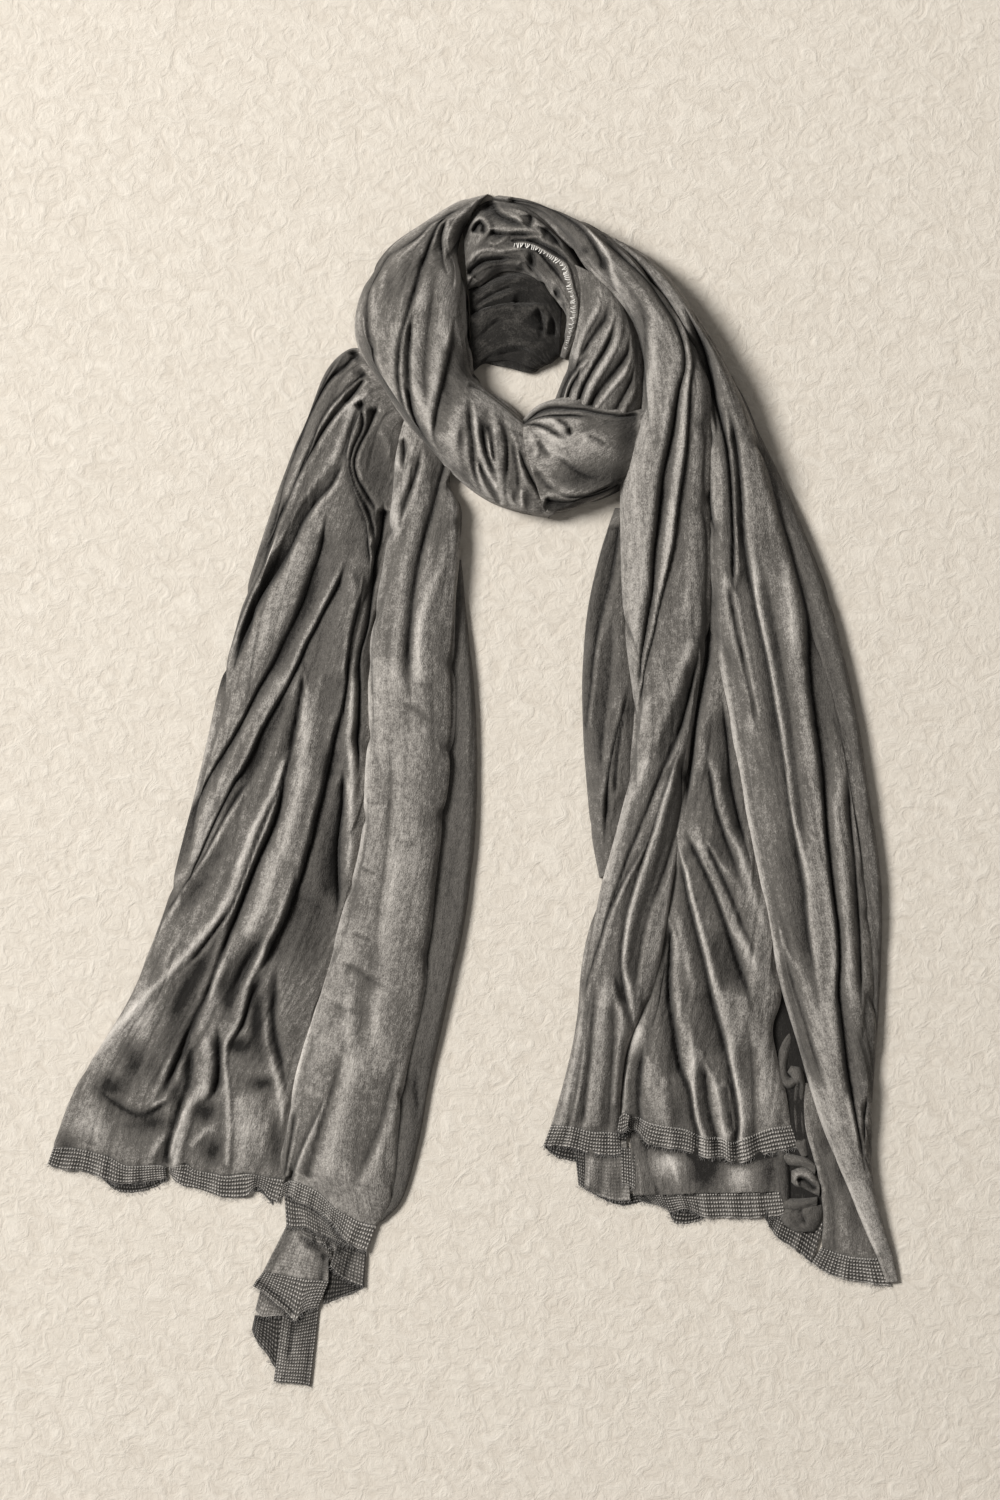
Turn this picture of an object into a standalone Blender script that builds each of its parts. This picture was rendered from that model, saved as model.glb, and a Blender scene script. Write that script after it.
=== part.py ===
"""Long washed-cotton scarf, wound once into a neck ring and laid flat on a surface.

The cloth lies in stretches: five round the neck ring, three in the left tail, seven in the right
tail, and the thin woven end bands. Each stretch is lofted through straight sections that run from its left (or
outer) edge to its right (or inner) edge, and is pleated along its fold lines. Lengths are in
millimetres until the mesh is written. X runs to the right, Y towards the ring, Z up from the
surface that the scarf lies on, with the origin in the middle of its footprint.
"""

import math
from collections import namedtuple

import bpy
from mathutils import Vector

MM = 0.001

CENTRE_SHIFT = Vector((-0.5, 1.0))    # puts the middle of the footprint on the origin
CLOTH_WALL = 1.6                      # washed cotton with its nap, as one lying layer
SEAM_GAP = 0.35                       # between neighbouring stretches
TUCK_CLEARANCE = 0.5                  # over a stretch that runs underneath
EDGE_LIP = 3.0                        # how high a stretch stands at its very edge
DOME_POWER = 2.6                      # roundness of a stretch across its sections
ROWS_PER_SPAN = 2                     # lofted rows between two tabled sections
PLEAT_SWELL = 0.10                    # rise of the cloth between two creases, by their distance
MAX_SWELL = 4.0
CREASE_SHARPNESS = 3.0                # how fast a crease flattens out beside its line
PLEAT_COLUMNS = 2                     # columns of faces across a narrow pleat
WIDE_PLEAT = 26.0                     # a wider pleat gets one more column of faces
DEEPEST_CREASE = 0.5                  # of the height above the edge

CREASE_STEPS = 5                      # straight runs between two tabled points of a fold
LEAST_PLEAT = 1.6                     # creases keep this far apart, as far as there is room
LEAST_PLEAT_SHARE = 0.8               # of an even share of the width, where there is less room
EDGE_SHARE = 0.02                     # a fold nearer to the edge than this has run out
BAND_COLUMNS = 12
BAND_ROWS = (0.0, 0.5, 1.0)           # from the seam of an end band to its free edge

RING = 58.0                           # crown height of the neck ring
TAIL = 24.0                           # crown height of a hanging tail

Section = namedtuple("Section", "left right height")
Fold = namedtuple("Fold", "name depth run")
Band = namedtuple("Band", "name seam edge base rise ripple waves")

WASHED_GREY = (0.115, 0.110, 0.105, 1.0)
SHADED_GREY = (0.070, 0.067, 0.064, 1.0)
BAND_GREY = (0.150, 0.144, 0.136, 1.0)


# ---------------------------------------------------------------- curves and sections

def smooth_line(points, steps):
    """Points along a smooth curve that passes through every given point."""
    known = [Vector(p) for p in points]
    if len(known) < 3:
        return [known[0].lerp(known[-1], i / steps) for i in range(steps + 1)]
    ends = [known[0] * 2 - known[1]] + known + [known[-1] * 2 - known[-2]]
    line = []
    for i in range(1, len(ends) - 2):
        before, start, stop, after = ends[i - 1:i + 3]
        for step in range(steps):
            t = step / steps
            a = stop - before
            b = before * 2 - start * 5 + stop * 4 - after
            c = start * 3 - before - stop * 3 + after
            line.append(start + (a * t + b * t * t + c * t ** 3) * 0.5)
    line.append(known[-1])
    return line


def dense_sections(sections):
    """Sections between the tabled ones, with their edges and heights on smooth curves."""
    lefts = smooth_line([s.left for s in sections], ROWS_PER_SPAN)
    rights = smooth_line([s.right for s in sections], ROWS_PER_SPAN)
    heights = smooth_line([(i, s.height) for i, s in enumerate(sections)], ROWS_PER_SPAN)
    return [Section(a, b, h.y) for a, b, h in zip(lefts, rights, heights)]


def crossing(section, line):
    """How far across a section a fold line crosses it, from 0 to 1, or None."""
    across = section.right - section.left
    for start, stop in zip(line, line[1:]):
        along = stop - start
        turn = across.cross(along)
        if turn == 0.0:
            continue
        offset = start - section.left
        share = offset.cross(along) / turn
        reach = offset.cross(across) / turn
        if 0.0 <= reach <= 1.0 and EDGE_SHARE < share < 1.0 - EDGE_SHARE:
            return share
    return None


def fold_places(section, lines):
    """Where each fold crosses a section; a fold that has run out is spread between the others."""
    places = [0.0] + [crossing(section, line) for line in lines] + [1.0]
    present = [place is not None for place in places]
    width = (section.right - section.left).length
    least = min(LEAST_PLEAT / width, LEAST_PLEAT_SHARE / len(places))
    known = [i for i, here in enumerate(present) if here]
    for before, i in zip(known, known[1:-1]):
        most = 1.0 - least * (len(places) - 1 - i)
        places[i] = min(max(places[i], places[before] + least * (i - before)), most)
    for a, b in zip(known, known[1:]):
        for i in range(a + 1, b):
            places[i] = places[a] + (places[b] - places[a]) * (i - a) / (b - a)
    return places, present


def dome(share):
    """Height of a rounded stretch across its section: 0 at both edges, 1 on its crown."""
    return (1.0 - abs(2.0 * share - 1.0) ** DOME_POWER) ** (1.0 / DOME_POWER)


def columns_between(places_of_rows, widths):
    """How many columns each pleat gets, from the widest that it becomes along the stretch."""
    counts = []
    for i in range(len(places_of_rows[0]) - 1):
        widest = max((p[i + 1] - p[i]) * w for p, w in zip(places_of_rows, widths))
        counts.append(PLEAT_COLUMNS + int(widest > WIDE_PLEAT) + int(widest > 2 * WIDE_PLEAT))
    return counts


def height_across(share, section, places, present, depths):
    """Height of the creased cloth at one place across a section."""
    rim = EDGE_LIP + (section.height - EDGE_LIP) * dome(share)
    width = (section.right - section.left).length
    marks = [i for i, here in enumerate(present) if here]
    for a, b in zip(marks, marks[1:]):
        if share <= places[b] + 1e-9:
            span = max(places[b] - places[a], 1e-6)
            u = min(max((share - places[a]) / span, 0.0), 1.0)
            swell = min(PLEAT_SWELL * span * width, MAX_SWELL) * math.sin(math.pi * u)
            crease = depths[a] * (1.0 - u) ** CREASE_SHARPNESS + depths[b] * u ** CREASE_SHARPNESS
            crease = min(crease, DEEPEST_CREASE * (rim - EDGE_LIP))
            return rim + swell * dome(share) - crease
    return rim


# ---------------------------------------------------------------- meshes

def cloth_material(name, colour):
    made = bpy.data.materials.new(name)
    made.use_nodes = True
    shader = made.node_tree.nodes["Principled BSDF"]
    shader.inputs["Base Color"].default_value = colour
    shader.inputs["Roughness"].default_value = 0.9
    shader.inputs["Metallic"].default_value = 0.0
    return made


def ring_loft(name, rings, material):
    """Closed solid through rings of equal point counts, capped at both ends."""
    size = len(rings[0])
    points = []
    for ring in rings:
        points += [((p.x + CENTRE_SHIFT.x) * MM, (p.y + CENTRE_SHIFT.y) * MM, p.z * MM) for p in ring]
    faces = []
    for row in range(len(rings) - 1):
        for i in range(size):
            j = (i + 1) % size
            a, b = row * size, (row + 1) * size
            faces.append((a + i, a + j, b + j))
            faces.append((a + i, b + j, b + i))
    faces.append(tuple(reversed(range(size))))
    faces.append(tuple((len(rings) - 1) * size + i for i in range(size)))
    mesh = bpy.data.meshes.new(name)
    mesh.from_pydata(points, [], faces)
    mesh.validate()
    turn_outward(mesh)
    made = bpy.data.objects.new(name, mesh)
    made.data.materials.append(material)
    bpy.context.scene.collection.objects.link(made)
    return made


def turn_outward(mesh):
    """Turns every face over when the closed mesh has its inside out."""
    mesh.calc_loop_triangles()
    volume = 0.0
    for tri in mesh.loop_triangles:
        a, b, c = (mesh.vertices[i].co for i in tri.vertices)
        volume += a.dot(b.cross(c))
    if volume < 0.0:
        mesh.flip_normals()


def stretch_rings(sections, folds, grow=0.0):
    """Rings of a pleated stretch: its creased top and the flat underside that it rests on."""
    lines = [smooth_line(f.run, CREASE_STEPS) for f in folds]
    depths = [0.0] + [f.depth for f in folds] + [0.0]
    rows = dense_sections(sections)
    found = [fold_places(row, lines) for row in rows]
    widths = [(row.right - row.left).length for row in rows]
    counts = columns_between([places for places, _ in found], widths)
    rings = []
    for row, (places, present) in zip(rows, found):
        side = (row.right - row.left).normalized() * grow
        left = row.left - side
        right = row.right + side
        top = []
        for i, count in enumerate(counts):
            for step in range(count):
                share = places[i] + (places[i + 1] - places[i]) * step / count
                height = height_across(share, row, places, present, depths)
                place = left.lerp(right, share)
                top.append(Vector((place.x, place.y, height + grow)))
        top.append(Vector((right.x, right.y, EDGE_LIP + grow)))
        under = [Vector((right.x, right.y, -grow)), Vector((left.x, left.y, -grow))]
        rings.append(top + under)
    lengthen(rings, grow)
    return rings


def lengthen(rings, grow):
    """Moves the two end rings of a loft outwards."""
    for end, inner in ((0, 1), (-1, -2)):
        way = rings[end][0] + rings[end][-3] - rings[inner][0] - rings[inner][-3]
        way.z = 0.0
        step = way.normalized() * grow
        rings[end] = [p + step for p in rings[end]]


def stretch(name, sections, folds, material):
    return ring_loft(name, stretch_rings(sections, folds), material)


def make_room(piece, sections, folds, clearance):
    """Cuts from a stretch the room for another one that runs under it or beside it."""
    cutter = ring_loft(piece.name + "_room", stretch_rings(sections, folds, clearance),
                       piece.data.materials[0])
    cutter.hide_render = True
    cutter.display_type = "WIRE"
    cut = piece.modifiers.new("room", "BOOLEAN")
    cut.operation = "DIFFERENCE"
    cut.solver = "EXACT"
    cut.object = cutter


def end_band(band, material):
    """Thin wavy wall between its seam line and its free edge, lying over what is below."""
    seam = evenly(smooth_line(band.seam, CREASE_STEPS), BAND_COLUMNS)
    edge = evenly(smooth_line(band.edge, CREASE_STEPS), BAND_COLUMNS)
    rings = []
    for i in range(BAND_COLUMNS + 1):
        wave = math.sin(2.0 * math.pi * band.waves * i / BAND_COLUMNS)
        top = []
        for share in BAND_ROWS:
            place = seam[i].lerp(edge[i], share)
            lift = band.base + band.rise * (1.0 - share) + band.ripple * (1.0 + wave) * share
            top.append(Vector((place.x, place.y, lift + CLOTH_WALL)))
        under = [Vector((p.x, p.y, p.z - CLOTH_WALL)) for p in reversed(top)]
        rings.append(top + under)
    return ring_loft(band.name, rings, material)


def evenly(line, count):
    """Points at even distances along a line."""
    reach = [0.0]
    for start, stop in zip(line, line[1:]):
        reach.append(reach[-1] + (stop - start).length)
    spaced = []
    place = 0
    for i in range(count + 1):
        want = reach[-1] * i / count
        while place < len(reach) - 2 and reach[place + 1] < want:
            place += 1
        span = max(reach[place + 1] - reach[place], 1e-9)
        spaced.append(line[place].lerp(line[place + 1], (want - reach[place]) / span))
    return spaced


# ---------------------------------------------------------------- the neck ring

FRONT_SECTIONS = (
    Section((11, 505), (7, 500), 0.34 * RING),
    Section((-14, 498), (-1, 487), 0.55 * RING),
    Section((-40, 482), (-11, 467), 0.75 * RING),
    Section((-70, 461), (-12, 451), 0.86 * RING),
    Section((-91, 433), (-6, 428), 0.94 * RING),
    Section((-101, 400), (-3, 402), 1.00 * RING),
    Section((-96, 372), (0, 375), 1.00 * RING),
    Section((-80, 344), (0, 355), 0.97 * RING),
    Section((-58, 311), (5, 348), 0.95 * RING),
    Section((-34, 283), (14, 336), 0.92 * RING),
    Section((-8, 259), (28, 323), 0.86 * RING),
    Section((18, 241), (38, 304), 0.78 * RING),
    Section((42, 234), (50, 265), 0.62 * RING),
    Section((62, 233), (65, 239), 0.30 * RING),
)
FRONT_FOLDS = (
    Fold("outer roll", 3.0, ((-84, 441), (-87, 400), (-85, 369), (-67, 333), (-41, 300), (-14, 268))),
    Fold("slot beside the roll", 8.0, ((-35, 473), (-49, 430), (-59, 389), (-61, 344), (-40, 295))),
    Fold("narrow strand", 8.0, ((-49, 426), (-51, 385), (-53, 345), (-37, 298), (-12, 268))),
    Fold("diagonal crease", 5.0, ((-12, 368), (-22, 345), (-28, 315), (-20, 290), (0, 262))),
    Fold("lower crease", 6.0, ((0, 345), (1, 301), (12, 263), (30, 238))),
    Fold("last crease", 6.0, ((18, 329), (22, 290), (34, 258), (48, 236))),
)

BOTTOM_SECTIONS = (
    Section((67, 234), (41, 308), 0.72 * RING),
    Section((84, 238), (62, 327), 0.80 * RING),
    Section((102, 245), (88, 330), 0.80 * RING),
    Section((116, 251), (114, 325), 0.74 * RING),
    Section((127, 258), (140, 324), 0.58 * RING),
    Section((142, 268), (160, 318), 0.40 * RING),
)
BOTTOM_FOLDS = (
    Fold("under roll", 5.0, ((62, 246), (84, 247), (106, 254), (126, 266), (146, 280))),
    Fold("dent", 4.0, ((60, 268), (80, 284), (104, 288), (128, 290))),
    Fold("rolled top edge", 6.0, ((46, 306), (62, 319), (88, 322), (116, 318), (142, 314))),
)

STRAND_SECTIONS = (
    Section((89, 440), (112, 427), 0.62 * RING),
    Section((90, 412), (136, 391), 0.70 * RING),
    Section((86, 386), (140, 362), 0.72 * RING),
    Section((81, 362), (140, 336), 0.68 * RING),
    Section((78, 350), (118, 325), 0.58 * RING),
    Section((68, 337), (86, 331), 0.42 * RING),
)
STRAND_FOLDS = (
    Fold("first groove", 6.0, ((104, 428), (100, 398), (86, 366), (74, 345))),
    Fold("second groove", 6.0, ((112, 424), (116, 396), (102, 366), (80, 341))),
    Fold("third groove", 5.0, ((126, 404), (126, 377), (110, 353), (92, 334))),
)

COLLAR_SECTIONS = (
    Section((-8, 471), (-3, 424), 0.46 * RING),
    Section((7, 495), (8, 427), 0.56 * RING),
    Section((28, 501), (24, 437), 0.62 * RING),
    Section((51, 490), (43, 437), 0.64 * RING),
    Section((76, 464), (58, 429), 0.62 * RING),
    Section((88, 437), (70, 415), 0.56 * RING),
    Section((89, 411), (78, 401), 0.48 * RING),
    Section((84, 386), (77, 384), 0.40 * RING),
    Section((78, 368), (74, 369), 0.30 * RING),
)
COLLAR_FOLDS = (
    Fold("outer layer", 5.0, ((-2, 478), (20, 478), (44, 474), (66, 456), (82, 430))),
    Fold("edge fold", 6.0, ((-4, 458), (14, 462), (40, 462), (60, 447), (76, 425), (84, 405))),
    Fold("lower layer", 5.0, ((-4, 440), (14, 449), (38, 448), (54, 436), (68, 420))),
)

BACK_SECTIONS = (
    Section((-2, 420), (1, 356), 0.26 * RING),
    Section((12, 427), (12, 362), 0.34 * RING),
    Section((30, 436), (30, 360), 0.38 * RING),
    Section((48, 433), (48, 356), 0.38 * RING),
    Section((61, 424), (61, 361), 0.32 * RING),
    Section((73, 410), (73, 370), 0.24 * RING),
)
BACK_FOLDS = (
    Fold("upper sheet", 4.0, ((-2, 412), (20, 420), (44, 423), (64, 413))),
    Fold("front sheet", 5.0, ((0, 400), (28, 408), (56, 405), (72, 396))),
)


# ---------------------------------------------------------------- the left tail

LEFT_OUTER_SECTIONS = (
    Section((-84, 372), (-58, 318), 0.80 * TAIL),
    Section((-106, 371), (-62, 312), 0.90 * TAIL),
    Section((-131, 344), (-66, 292), 1.00 * TAIL),
    Section((-158, 270), (-69, 240), 1.10 * TAIL),
    Section((-184, 196), (-81, 180), 1.15 * TAIL),
    Section((-206, 124), (-91, 112), 1.15 * TAIL),
    Section((-223, 50), (-92, 44), 1.10 * TAIL),
    Section((-241, -24), (-95, -24), 1.05 * TAIL),
    Section((-262, -100), (-111, -100), 1.00 * TAIL),
    Section((-293, -176), (-133, -172), 0.90 * TAIL),
    Section((-334, -246), (-152, -244), 0.70 * TAIL),
    Section((-354, -300), (-162, -322), 0.42 * TAIL),
)
LEFT_OUTER_FOLDS = (
    Fold("outer strand", 3.0, ((-99, 366), (-121, 344), (-146, 284), (-164, 228))),
    Fold("first slot", 6.0, ((-92, 352), (-110, 313), (-137, 273), (-167, 207), (-198, 146), (-219, 50))),
    Fold("second slot", 7.0, ((-100, 300), (-117, 258), (-152, 214), (-185, 148), (-207, 82))),
    Fold("third slot", 6.0, ((-123, 245), (-145, 166), (-183, 87), (-223, 9), (-257, -85))),
    Fold("fourth slot", 6.0, ((-99, 236), (-123, 159), (-161, 80), (-208, -6), (-254, -93))),
    Fold("spread crease", 5.0, ((-191, -88), (-224, -163), (-258, -236), (-282, -274))),
    Fold("flank crease", 5.0, ((-142, 119), (-155, 26), (-187, -53), (-215, -113), (-236, -149))),
    Fold("panel edge", 6.0, ((-93, 185), (-108, 84), (-137, -40), (-172, -132), (-211, -226), (-208, -319))),
    Fold("hollow by the hem", 5.0, ((-160, -150), (-176, -210), (-180, -300))),
)

LEFT_PANEL_SECTIONS = (
    Section((-60, 320), (-6, 292), 0.80 * TAIL),
    Section((-66, 280), (-18, 262), 1.10 * TAIL),
    Section((-70, 238), (-8, 236), 1.25 * TAIL),
    Section((-80, 180), (-12, 178), 1.30 * TAIL),
    Section((-90, 112), (-14, 110), 1.30 * TAIL),
    Section((-91, 44), (-16, 42), 1.30 * TAIL),
    Section((-94, -24), (-23, -24), 1.25 * TAIL),
    Section((-110, -100), (-31, -98), 1.20 * TAIL),
    Section((-132, -172), (-40, -172), 1.10 * TAIL),
    Section((-151, -244), (-56, -246), 1.00 * TAIL),
    Section((-162, -306), (-65, -332), 0.80 * TAIL),
    Section((-157, -328), (-78, -368), 0.50 * TAIL),
)
LEFT_PANEL_FOLDS = (
    Fold("left roll", 2.0, ((-58, 262), (-68, 200), (-76, 120), (-82, 0), (-104, -120), (-146, -290))),
    Fold("centre trough", 3.0, ((-34, 270), (-44, 192), (-53, 110), (-60, 0), (-74, -120), (-118, -300))),
    Fold("shaded side", 3.0, ((-22, 250), (-30, 170), (-36, 60), (-44, -60), (-66, -200), (-92, -330))),
)

LEFT_BACK_SECTIONS = (
    Section((-10.5, 196), (-9.5, 196), 0.30 * TAIL),
    Section((-12.5, 150), (-5, 150), 0.42 * TAIL),
    Section((-14, 92), (1, 92), 0.50 * TAIL),
    Section((-16, 30), (3, 30), 0.50 * TAIL),
    Section((-24, -40), (2, -40), 0.50 * TAIL),
    Section((-32, -110), (-6, -110), 0.50 * TAIL),
    Section((-41, -180), (-21, -180), 0.50 * TAIL),
    Section((-56, -246), (-36, -246), 0.46 * TAIL),
    Section((-64, -300), (-46, -300), 0.40 * TAIL),
    Section((-69, -346), (-61, -348), 0.30 * TAIL),
)


# ---------------------------------------------------------------- the right tail

CENTRE_SECTIONS = (
    Section((18, 500), (22, 504), 0.40 * RING),
    Section((53, 491), (58, 497), 0.62 * RING),
    Section((78, 466), (100, 479), 0.84 * RING),
    Section((100, 437), (131, 458), 0.94 * RING),
    Section((122, 417), (154, 430), 0.98 * RING),
    Section((137, 388), (179, 390), 0.98 * RING),
    Section((141, 351), (197, 351), 0.94 * RING),
    Section((140, 310), (200, 312), 0.88 * RING),
    Section((128, 262), (200, 262), 0.74 * RING),
    Section((126, 210), (200, 210), 0.56 * RING),
    Section((126, 160), (199, 162), 1.20 * TAIL),
    Section((130, 110), (192, 112), 1.15 * TAIL),
    Section((136, 62), (186, 64), 1.10 * TAIL),
    Section((131, 10), (181, 10), 1.10 * TAIL),
    Section((122, -28), (178, -26), 1.10 * TAIL),
    Section((110, -76), (171, -84), 1.10 * TAIL),
    Section((97, -128), (163, -128), 1.05 * TAIL),
    Section((90, -174), (151, -178), 1.00 * TAIL),
    Section((83, -218), (131, -220), 0.90 * TAIL),
    Section((75, -255), (126, -257), 0.70 * TAIL),
    Section((68, -284), (125, -288), 0.42 * TAIL),
)
CENTRE_FOLDS = (
    Fold("long crease", 5.0, ((92, 479), (160, 409), (174, 341), (160, 266), (148, 151), (140, 80))),
    Fold("side crease", 5.0, ((186, 362), (182, 314), (169, 204), (157, 156), (146, 108), (140, 60))),
    Fold("crossing crease", 5.0, ((194, 120), (180, 62), (143, -29), (112, -118), (96, -180))),
    Fold("bundle crease", 5.0, ((172, 23), (145, -50), (124, -100), (106, -163), (98, -250), (95, -282))),
    Fold("flap crease", 5.0, ((170, 0), (147, -56), (128, -128), (119, -197), (112, -270))),
)

MIDDLE_SECTIONS = (
    Section((200.0, 160), (203.0, 160), 0.40 * TAIL),
    Section((192.4, 112), (208.6, 112), 0.70 * TAIL),
    Section((186.8, 62), (217.6, 62), 0.80 * TAIL),
    Section((181.6, 10), (225.0, 12), 0.86 * TAIL),
    Section((178.6, -27), (230.8, -27), 0.90 * TAIL),
    Section((171.6, -85), (242.4, -85), 0.95 * TAIL),
    Section((163.6, -128), (251.6, -128), 0.95 * TAIL),
    Section((151.6, -178), (248, -181), 0.95 * TAIL),
    Section((131.8, -219), (257, -218), 0.90 * TAIL),
    Section((126.8, -255), (264, -255), 0.72 * TAIL),
    Section((126.0, -287), (269, -286), 0.46 * TAIL),
)
MIDDLE_FOLDS = (
    Fold("hem crease", 5.0, ((166, -160), (176, -235), (187, -285))),
    Fold("fan crease", 5.0, ((179, -40), (184, -89), (197, -139), (207, -181), (199, -240), (205, -285))),
    Fold("fan ridge", 4.0, ((184, -27), (209, -97), (222, -160), (219, -240), (222, -285))),
    Fold("far crease", 4.0, ((203, 60), (213, -8), (228, -70), (240, -150), (248, -230), (250, -284))),
)

OUTER_SECTIONS = (
    Section((119, 467), (122, 467.6), 0.50 * RING),
    Section((140.6, 447.4), (148, 450), 0.68 * RING),
    Section((158, 426), (171, 427), 0.80 * RING),
    Section((179.6, 390), (196, 390), 0.86 * RING),
    Section((197.6, 351), (219, 351), 0.84 * RING),
    Section((200.6, 312), (236, 312), 0.76 * RING),
    Section((200.6, 262), (253, 262), 0.64 * RING),
    Section((200.6, 210), (271, 210), 0.54 * RING),
    Section((203.6, 160), (285, 161), 1.20 * TAIL),
    Section((209.2, 112), (300, 112), 1.15 * TAIL),
    Section((218.2, 62), (314, 62), 1.10 * TAIL),
    Section((225.6, 12), (325, 12), 1.10 * TAIL),
    Section((231.4, -27), (329, -27), 1.10 * TAIL),
    Section((243, -85), (335, -85), 1.10 * TAIL),
    Section((252.4, -128), (339, -128), 1.10 * TAIL),
    Section((263.6, -181), (342, -181), 1.05 * TAIL),
    Section((281, -238), (341, -238), 1.00 * TAIL),
    Section((299, -290), (338, -290), 0.90 * TAIL),
    Section((320, -337), (341, -337), 0.70 * TAIL),
    Section((337, -386), (350, -384), 0.45 * TAIL),
)
OUTER_FOLDS = (
    Fold("dark slot", 9.0, ((195, 385), (205, 334), (218, 262), (218, 213), (222, 150))),
    Fold("panel ridge", 3.0, ((240, 190), (248, 113), (262, 21), (278, -77), (294, -181), (318, -290))),
    Fold("long crease", 5.0, ((246, 286), (274, 185), (289, 58), (302, -62), (311, -185), (331, -312))),
)

RIGHT_BACK_SECTIONS = (
    Section((219.6, 352), (220.6, 352), 0.40 * TAIL),
    Section((236.6, 312), (238.4, 312), 0.60 * TAIL),
    Section((253.6, 262), (262, 262), 0.75 * TAIL),
    Section((271.6, 210), (285, 210), 0.80 * TAIL),
    Section((285.6, 161), (304, 161), 0.80 * TAIL),
    Section((300.6, 112), (316.5, 112), 0.80 * TAIL),
    Section((314.6, 62), (327.4, 62), 0.75 * TAIL),
    Section((325.6, 12), (335, 12), 0.70 * TAIL),
    Section((329.6, -27), (340, -27), 0.65 * TAIL),
    Section((335.6, -85), (347, -85), 0.60 * TAIL),
    Section((339.6, -128), (348.6, -128), 0.55 * TAIL),
    Section((342.6, -181), (346.6, -181), 0.50 * TAIL),
    Section((341.6, -220), (343.2, -220), 0.40 * TAIL),
)

RIGHT_UNDER_SECTIONS = (
    Section((123, 236), (125.4, 236), 0.35 * TAIL),
    Section((110.6, 210), (125.4, 210), 0.50 * TAIL),
    Section((99, 160), (125.4, 160), 0.60 * TAIL),
    Section((93, 104), (129.8, 104), 0.60 * TAIL),
    Section((93.6, 56), (135.0, 56), 0.60 * TAIL),
    Section((97, 5), (129.6, 5), 0.58 * TAIL),
    Section((101, -34), (120.2, -34), 0.52 * TAIL),
    Section((106, -62), (112.8, -64), 0.44 * TAIL),
)
RIGHT_UNDER_FOLDS = (
    Fold("second layer", 3.0, ((120, 214), (114, 163), (104, 113), (99, 60), (103, 0))),
    Fold("lens fold", 4.0, ((131, 80), (125, 40), (122, 0), (116, -34))),
)


# ---------------------------------------------------------------- end bands and loose ends

FLAP_SECTIONS = (
    Section((282, -262), (290, -262), 4.0),
    Section((286, -290), (301, -290), 7.0),
    Section((292, -316), (313, -318), 8.0),
    Section((296, -340), (323, -340), 8.0),
    Section((298, -372), (334, -374), 8.0),
    Section((298, -387), (338, -390), 6.0),
)
RUFFLE_SECTIONS = (
    Section((263, -226), (273, -228), 5.0),
    Section((268, -262), (282, -264), 7.0),
    Section((278.6, -300), (290, -302), 7.0),
    Section((268, -330), (296, -334), 6.0),
    Section((264, -358), (298, -364), 4.0),
    Section((275, -371), (289, -373), 3.2),
)
RUFFLE_FOLDS = (
    Fold("curl", 2.5, ((267, -230), (274, -262), (282, -300), (278, -330), (282, -366))),
)


def end_seam(section, start, stop):
    """Two points just past the last section of a stretch, where its end band is joined."""
    left = Vector(section.left)
    right = Vector(section.right)
    across = (right - left).normalized()
    past = Vector((across.y, -across.x)) * SEAM_GAP
    return (left.lerp(right, start) + past, left.lerp(right, stop) + past)


LEFT_OUTER_END = LEFT_OUTER_SECTIONS[-1]
LEFT_PANEL_END = LEFT_PANEL_SECTIONS[-1]
CENTRE_END = CENTRE_SECTIONS[-1]
MIDDLE_END = MIDDLE_SECTIONS[-1]

BANDS = (
    Band("hem_left_outer", end_seam(LEFT_OUTER_END, 0.0, 0.495),
         ((-360, -318), (-351, -322), (-321, -327), (-300, -338), (-260, -333)), 0.0, 6.0, 1.6, 2.0),
    Band("hem_left_inner", end_seam(LEFT_OUTER_END, 0.505, 1.0),
         ((-258, -333), (-245, -338), (-211, -346), (-188, -340), (-168, -349)), 0.0, 6.0, 1.8, 2.5),
    Band("hem_left_panel", end_seam(LEFT_PANEL_END, 0.0, 1.0),
         ((-163, -346), (-148, -350), (-126, -360), (-110, -379), (-90, -391)), 4.6, 4.0, 1.2, 2.5),
    Band("hem_left_second", ((-155, -350), (-140, -356), (-124, -364), (-112, -377)),
         ((-156, -370), (-141, -370), (-123, -381), (-110, -388)), 2.2, 0.4, 0.2, 2.0),
    Band("hem_left_corner", ((-104, -377), (-98, -381), (-92, -386)),
         ((-117, -411), (-104, -419), (-91, -420)), 0.0, 4.1, 0.8, 1.0),
    Band("hem_left_lower", ((-154, -350), (-138, -366), (-119, -382)),
         ((-184, -418), (-160, -438), (-127, -434)), 0.0, 0.0, 0.1, 2.0),
    Band("hem_left_lowest", ((-183, -419.5), (-160, -439.5), (-130, -436)),
         ((-181, -478), (-166, -502), (-137, -507)), 0.0, 1.2, 1.8, 1.5),
    Band("hem_right_left", end_seam(CENTRE_END, 0.0, 0.98),
         ((60, -302), (87, -304), (110, -309), (125, -308)), 3.0, 2.0, 1.4, 2.0),
    Band("hem_right_top", end_seam(MIDDLE_END, 0.02, 0.98),
         ((131, -299), (149, -301), (181, -306), (215, -315), (244, -310), (276, -303)),
         3.0, 2.0, 1.8, 4.0),
    Band("hem_right_under", ((90, -292), (108, -295), (126, -296), (134, -296)),
         ((92, -336), (108, -345), (124, -351), (135, -350)), 0.0, 1.3, 0.9, 1.5),
    Band("hem_right_lower", ((138, -296), (170, -294), (214, -294), (262, -296)),
         ((145, -350), (172, -367), (200, -363), (261, -360)), 0.0, 1.3, 0.9, 3.0),
    Band("hem_right_corner", ((298, -387.6), (320, -389.4), (336, -390.7), (350, -386.4)),
         ((288, -401), (301, -410), (332, -418), (361, -418)), 0.0, 4.0, 1.4, 2.0),
)


# ---------------------------------------------------------------- the scarf

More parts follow.
